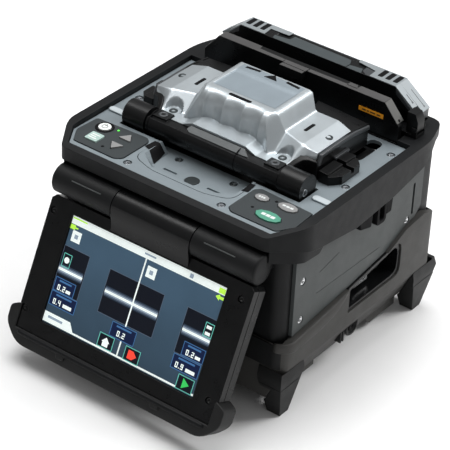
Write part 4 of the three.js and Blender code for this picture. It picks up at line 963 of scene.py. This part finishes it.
def front_jaw_trims():
    """Stepped grey top strip, finger pad, sloping ends and warning label of the front jaw."""
    top = FRONT_JAW_TOP
    y0 = FRONT_JAW_EDGE
    bm = bmesh.new()
    add_prism(bm, [(-58.4, y0), (-12.5, y0), (-12.6, 44.6), (-31.2, 45.2), (-31.9, 48.3), (-58.4, 48.3)],
              top - 0.2, top + 0.15, at)
    add_prism(bm, [(5, y0), (58.4, y0), (58.4, 48.3), (38.2, 48.3), (37.6, 45.4), (5, 44.8)],
              top - 0.2, top + 0.15, at)
    add_prism(bm, [(31.2, 44.2), (38, 44.2), (36.6, 47.4), (31.2, 47.4)], top - 0.2, top + 0.5, at)
    finish_piece(bm, "jaw_top_strip", "strip_grey", "front_jaw", bevel=0.1)
    bm = bmesh.new()
    add_prism(bm, [(-11.6, 40.9), (4.2, 40.5), (4.6, 44.4), (-12.2, 44.4)], top - 0.4, top + 0.35, at)
    add_prism(bm, [(-11.9, 37.7), (3.9, 37.7), (4.1, 40.3), (-11.7, 40.7)], top - 0.4, top + 0.12, at)
    finish_piece(bm, "jaw_finger_pad", "strip_grey", "front_jaw", bevel=0.12)
    bm = bmesh.new()
    for side in (-1, 1):
        place = slope_place(side, (58.5, top), (69, 132.6))
        foot_width = 48.3 if side > 0 else 45.4
        add_prism(bm, [(0.1, y0 + 0.1), (14.2, y0 + 0.1), (14.2, foot_width), (7.6, foot_width), (7.6, 48.3),
                       (0.1, 48.3)], -0.2, 0.2, place)
    finish_piece(bm, "jaw_slope_plates", "slope_grey", "front_jaw", bevel=0.12)
    # Black discs on the sloping ends: painted shade in place of holes.
    bm = bmesh.new()
    for side in (-1, 1):
        place = slope_place(side, (58.5, top), (69, 132.6))
        add_prism(bm, ellipse(13.1, 44.8, 0.9, 0.9, 16), -0.1, 0.26, place)
    finish_piece(bm, "jaw_slope_holes", "void_black", "front_jaw", smooth=False)
    bm = bmesh.new()
    add_prism(bm, rect(41.6, 133.6, 58.4, 136.4), 41.78, 42.05, facing_y)
    finish_piece(bm, "heater_label", "label_orange", "front_jaw", smooth=False)
    bm = bmesh.new()
    for x0, x1 in ((44, 46.5), (47.5, 48.6), (49.4, 53), (54, 56.5)):
        add_prism(bm, rect(x0, 134.5, x1, 135.4), 41.72, 42.0, facing_y)
    finish_piece(bm, "heater_label_bars", "label_mark", "front_jaw", smooth=False)


rear_jaw_trims()
front_jaw_trims()

# ------------------------------------------------------------------ side trims


def add_frame(bm, outer, inner, low, high, place):
    """A flat frame between two outlines with the same number of points."""
    rings = [[bm.verts.new(place(a, b, depth)) for a, b in outline]
             for outline, depth in ((outer, low), (outer, high), (inner, high), (inner, low))]
    count = len(outer)
    for a in range(4):
        b = (a + 1) % 4
        for i in range(count):
            j = (i + 1) % count
            bm.faces.new((rings[a][i], rings[a][j], rings[b][j], rings[b][i]))


# Fender bead under the ridge: distance along the side, its top and bottom, its outward reach.
FENDER = [(-67, 51.2, 43.4, 1.9), (-54, 52.5, 44.0, 1.9), (-41, 54.0, 45.0, 1.9), (-29, 55.2, 47.8, 1.7),
          (-20, 56.1, 52.6, 0.9), (-17, 56.4, 54.6, 0.3)]
FENDER_CORNER = (73, -67)
BODY_HALF_WIDTH = 82
BODY_CORNER_RADIUS = 9


def fender_stations():
    """Points on the case's side and front corner, with the outward direction, top, bottom and reach."""
    x0, y0 = FENDER_CORNER
    for turn in range(80, 0, -10):
        angle = math.radians(turn)
        out = (math.cos(angle), -math.sin(angle))
        share = 1 - turn / 90
        yield (x0 + BODY_CORNER_RADIUS * out[0], y0 + BODY_CORNER_RADIUS * out[1], out,
               50.2 + share, 44.6 - 1.2 * share, 0.2 + 1.7 * math.sqrt(share))
    for y, top, bottom, reach in FENDER:
        yield BODY_HALF_WIDTH, y, (1, 0), top, bottom, reach


def fender(side):
    """A rounded bead that runs from the front corner back towards the port recess."""
    bm = bmesh.new()
    rings = []
    for x, y, out, top, bottom, reach in fender_stations():
        ring = []
        for k in range(9):
            angle = math.radians(-90 + 22.5 * k)
            away = reach * math.cos(angle) if 0 < k < 8 else -0.6
            z = (top + bottom) / 2 + (top - bottom) / 2 * math.sin(angle)
            ring.append(bm.verts.new(at(side * (x + out[0] * away), y + out[1] * away, z)))
        rings.append(ring)
    for first, second in zip(rings, rings[1:]):
        for k in range(9):
            n = (k + 1) % 9
            bm.faces.new((first[k], first[n], second[n], second[k]))
    bm.faces.new(rings[0])
    bm.faces.new(rings[-1][::-1])
    return bm


def front_cover():
    """Black cover over the lower case's front, wrapped around both corners as far as the fenders."""
    x0, y0 = FENDER_CORNER
    outer, inner = [], []
    for turn in (50, 60, 70, 80, 90):
        angle = math.radians(turn)
        for path, radius in ((outer, BODY_CORNER_RADIUS + 0.35), (inner, BODY_CORNER_RADIUS - 0.6)):
            path.append((x0 + radius * math.cos(angle), y0 - radius * math.sin(angle)))
    outer += [(-x, y) for x, y in outer[::-1]]
    inner += [(-x, y) for x, y in inner[::-1]]
    bm = bmesh.new()
    add_prism(bm, outer + inner[::-1], 33.4, 49.2, at)
    finish_piece(bm, "front_cover", "case_black", "main_unit", bevel=0.2)


def side_trims():
    """Moulded lines, fenders and tray latches on the case's sides."""
    for label, side in SIDES:
        place = facing_x(side)
        bm = bmesh.new()
        for y0, z0, y1, z1 in ((-44, 83, -26, 87), (-46, 70, 16, 69)):
            slope = (z1 - z0) / (y1 - y0)
            line = [(y0, z0), (y1, z1), (y1 + 0.3 * slope, z1 + 0.35), (y0, z0 + 0.35)]
            add_prism(bm, line, 79.6, 79.95, place)
        finish_piece(bm, f"side_lines_{label}", "panel_grey", "main_unit", smooth=False)
        finish_piece(fender(side), f"fender_{label}", "case_grey", "main_unit")

        bm = bmesh.new()
        latch_place = at(side * 77.7, -2.7, 23.6)
        add_turned(bm, [(6.2, -6), (6.2, 0), (5.7, 0.5), (4.6, 0.5), (4.6, -0.4)], latch_place,
                   (side, 0, 0), 28)
        for y in (-13.2, -10.8):
            add_prism(bm, rounded(y - 0.6, 17, y + 0.6, 27.5, 0.5, 3), 73, 77.9, place)
        finish_piece(bm, f"tray_latch_{label}", "boot_rubber", "main_unit", bevel=0.2)
        # A black disc inside the latch ring: painted shade of the latch's round recess.
        bm = bmesh.new()
        add_turned(bm, [(3.4, -0.8), (3.4, 0.2), (2.8, 0.5), (1.2, 0.5), (1.0, -0.4)], latch_place,
                   (side, 0, 0), 24)
        finish_piece(bm, f"latch_recess_shade_{label}", "void_black", "main_unit")


def strap_trims():
    """Strap loops and tabs below the deck's rim, and the round plugs beside them."""
    for label, side in SIDES:
        place = facing_x(side)
        bm = bmesh.new()
        add_prism(bm, [(-14.5, 105), (0, 105), (-1, 93), (-12, 96)], 79.8, 83.8, place)
        add_prism(bm, [(13, 104), (20, 104), (19, 94), (14, 94)], 79.8, 83.6, place)
        finish_piece(bm, f"strap_tabs_{label}", "void_black", "main_unit", bevel=0.8)
        bm = bmesh.new()
        outer = rounded(3.4, 91, 12.8, 107, 2.5, 4)
        inner = rounded(5.8, 93.6, 10.4, 104.2, 1.6, 4)
        add_frame(bm, outer, inner, 80.2, 84.3, place)
        finish_piece(bm, f"strap_loop_{label}", "void_black", "main_unit", bevel=0.5)
        bm = bmesh.new()
        add_turned(bm, [(2.2, -1.0), (2.2, -0.05), (1.7, 0.05), (1.6, -0.6)], at(side * 84.45, 21, 107.5),
                   (side, 0, 0), 20)
        finish_piece(bm, f"skirt_plug_{label}", "void_black", "main_unit")


def port_trims():
    """Bright rim around the mouth of the USB port."""
    bm = bmesh.new()
    add_frame(bm, rect(0.9, 46.2, 14.3, 52.8), rect(2.2, 47.5, 13.0, 51.5), 73.6, 74.4, facing_x(1))
    finish_piece(bm, "usb_rim", "chrome", "main_unit", smooth=False)


side_trims()
front_cover()
strap_trims()
port_trims()

# ------------------------------------------------------------------ tray end blocks


def surface_below(node_names):
    """A function that gives the height of the CAD nodes' upper surface, or the deck's between them."""
    corners, faces = [], []
    for name in node_names:
        node = frame["nodes"][name]
        start = len(corners)
        corners += [node.matrix_world @ vertex.co for vertex in node.data.vertices]
        faces += [[start + index for index in polygon.vertices] for polygon in node.data.polygons]
    tree = BVHTree.FromPolygons(corners, faces)

    def height(x, y):
        hit = tree.ray_cast(at(x, y, 200), Vector((0, 0, -1)))[0]
        return hit.z / MM if hit else DECK

    return height


TRAY_PAD = [(36.2, -54.0), (35.2, -46.0), (28.2, -45.6), (26.6, -57.0)]
TRAY_PAD_STEPS = 8


def tray_ends():
    """Black pads on the sloping end walls of the front tray, laid on its surface."""
    height = surface_below(["front_tray", "top_panel"])
    bm = bmesh.new()
    outer_front, outer_rear, inner_rear, inner_front = TRAY_PAD
    for side in (-1, 1):
        grid = []
        for i in range(TRAY_PAD_STEPS + 1):
            row = []
            for j in range(TRAY_PAD_STEPS + 1):
                u, v = i / TRAY_PAD_STEPS, j / TRAY_PAD_STEPS
                front = [a + (b - a) * u for a, b in zip(outer_front, inner_front)]
                rear = [a + (b - a) * u for a, b in zip(outer_rear, inner_rear)]
                x, y = (a + (b - a) * v for a, b in zip(front, rear))
                row.append(bm.verts.new(at(side * x, y, height(side * x, y) + 0.25)))
            grid.append(row)
        for i in range(TRAY_PAD_STEPS):
            for j in range(TRAY_PAD_STEPS):
                bm.faces.new((grid[i][j], grid[i + 1][j], grid[i + 1][j + 1], grid[i][j + 1]))
    finish_piece(bm, "tray_end_pads", "void_black", "main_unit")


def deck_pills():
    """Bright raised pads on the deck beside the ends of the hinge tube."""
    bm = bmesh.new()
    for side in (-1, 1):
        add_prism(bm, rounded(side * 71.5 - 5.7, -37.2, side * 71.5 + 5.7, -32.8, 2.1, 5),
                  DECK + 0.5, DECK + 1.2, at)
    finish_piece(bm, "deck_pills", "pill_silver", "main_unit", bevel=0.3)


tray_ends()
deck_pills()

# ------------------------------------------------------------------ room, lights, camera

CAMERA_AZIMUTH = math.radians(35.9)
CAMERA_ELEVATION = math.radians(33.4)
CAMERA_ROLL = math.radians(2.93)
CAMERA_DISTANCE = 1284.9
CAMERA_LENS = 174.7
CAMERA_TARGET = (-17.3, 0.0, 50.0)
SKY_LOW = 0.13
SKY_HIGH = 0.55


def add_camera():
    data = bpy.data.cameras.new("camera")
    data.lens = CAMERA_LENS
    data.clip_end = 20
    camera = bpy.data.objects.new("camera", data)
    bpy.context.scene.collection.objects.link(camera)
    a, e = CAMERA_AZIMUTH, CAMERA_ELEVATION
    back = Vector((math.sin(a) * math.cos(e), -math.cos(a) * math.cos(e), math.sin(e)))
    right = Vector((math.cos(a), math.sin(a), 0))
    up = back.cross(right)
    rolled_right = right * math.cos(CAMERA_ROLL) + up * math.sin(CAMERA_ROLL)
    rolled_up = up * math.cos(CAMERA_ROLL) - right * math.sin(CAMERA_ROLL)
    turn = Matrix((rolled_right, rolled_up, back)).transposed().to_4x4()
    place = at(*CAMERA_TARGET) + back * CAMERA_DISTANCE * MM
    camera.matrix_world = Matrix.Translation(place) @ turn
    bpy.context.scene.camera = camera


def add_light(name, place, size, power, color=(1, 1, 1)):
    data = bpy.data.lights.new(name, "AREA")
    data.shape = "RECTANGLE"
    data.size = size[0]
    data.size_y = size[1]
    data.energy = power
    data.color = color
    light = bpy.data.objects.new(name, data)
    bpy.context.scene.collection.objects.link(light)
    light.location = place
    aim = Vector((0, 0, 0.08)) - Vector(place)
    light.rotation_euler = aim.to_track_quat("-Z", "Y").to_euler()


def add_room():
    bm = bmesh.new()
    reach = 6.0
    for x, y in ((-reach, -reach), (reach, -reach), (reach, reach), (-reach, reach)):
        bm.verts.new((x, y, -0.0002))
    bm.faces.new(list(bm.verts))
    data = bpy.data.meshes.new("floor")
    bm.to_mesh(data)
    bm.free()
    floor = bpy.data.objects.new("floor", data)
    bpy.context.scene.collection.objects.link(floor)
    data.materials.append(material("floor_white", (0.74, 0.74, 0.74), 0.8, mottle=0.01, spread=0.05))
    add_sky()
    bpy.context.scene.view_settings.view_transform = "Standard"


def add_sky():
    """A studio tent that is bright overhead and dim towards the horizon."""
    world = bpy.data.worlds.new("studio")
    world.use_nodes = True
    nodes = world.node_tree.nodes
    links = world.node_tree.links
    direction = nodes.new("ShaderNodeTexCoord")
    split = nodes.new("ShaderNodeSeparateXYZ")
    ramp = nodes.new("ShaderNodeValToRGB")
    links.new(direction.outputs["Generated"], split.inputs["Vector"])
    links.new(split.outputs["Z"], ramp.inputs["Fac"])
    ramp.color_ramp.elements[0].position = 0.0
    ramp.color_ramp.elements[0].color = (SKY_LOW, SKY_LOW, SKY_LOW, 1)
    ramp.color_ramp.elements[1].position = 0.8
    ramp.color_ramp.elements[1].color = (SKY_HIGH, SKY_HIGH, SKY_HIGH, 1)
    links.new(ramp.outputs["Color"], nodes["Background"].inputs["Color"])
    bpy.context.scene.world = world


add_camera()
add_light("key", (0.9, 0.9, 1.3), (0.7, 0.7), 21)
add_light("top", (-0.3, 0.2, 1.6), (1.4, 1.0), 30)
add_light("front", (-0.4, -1.8, 0.9), (1.0, 0.6), 1)
add_room()
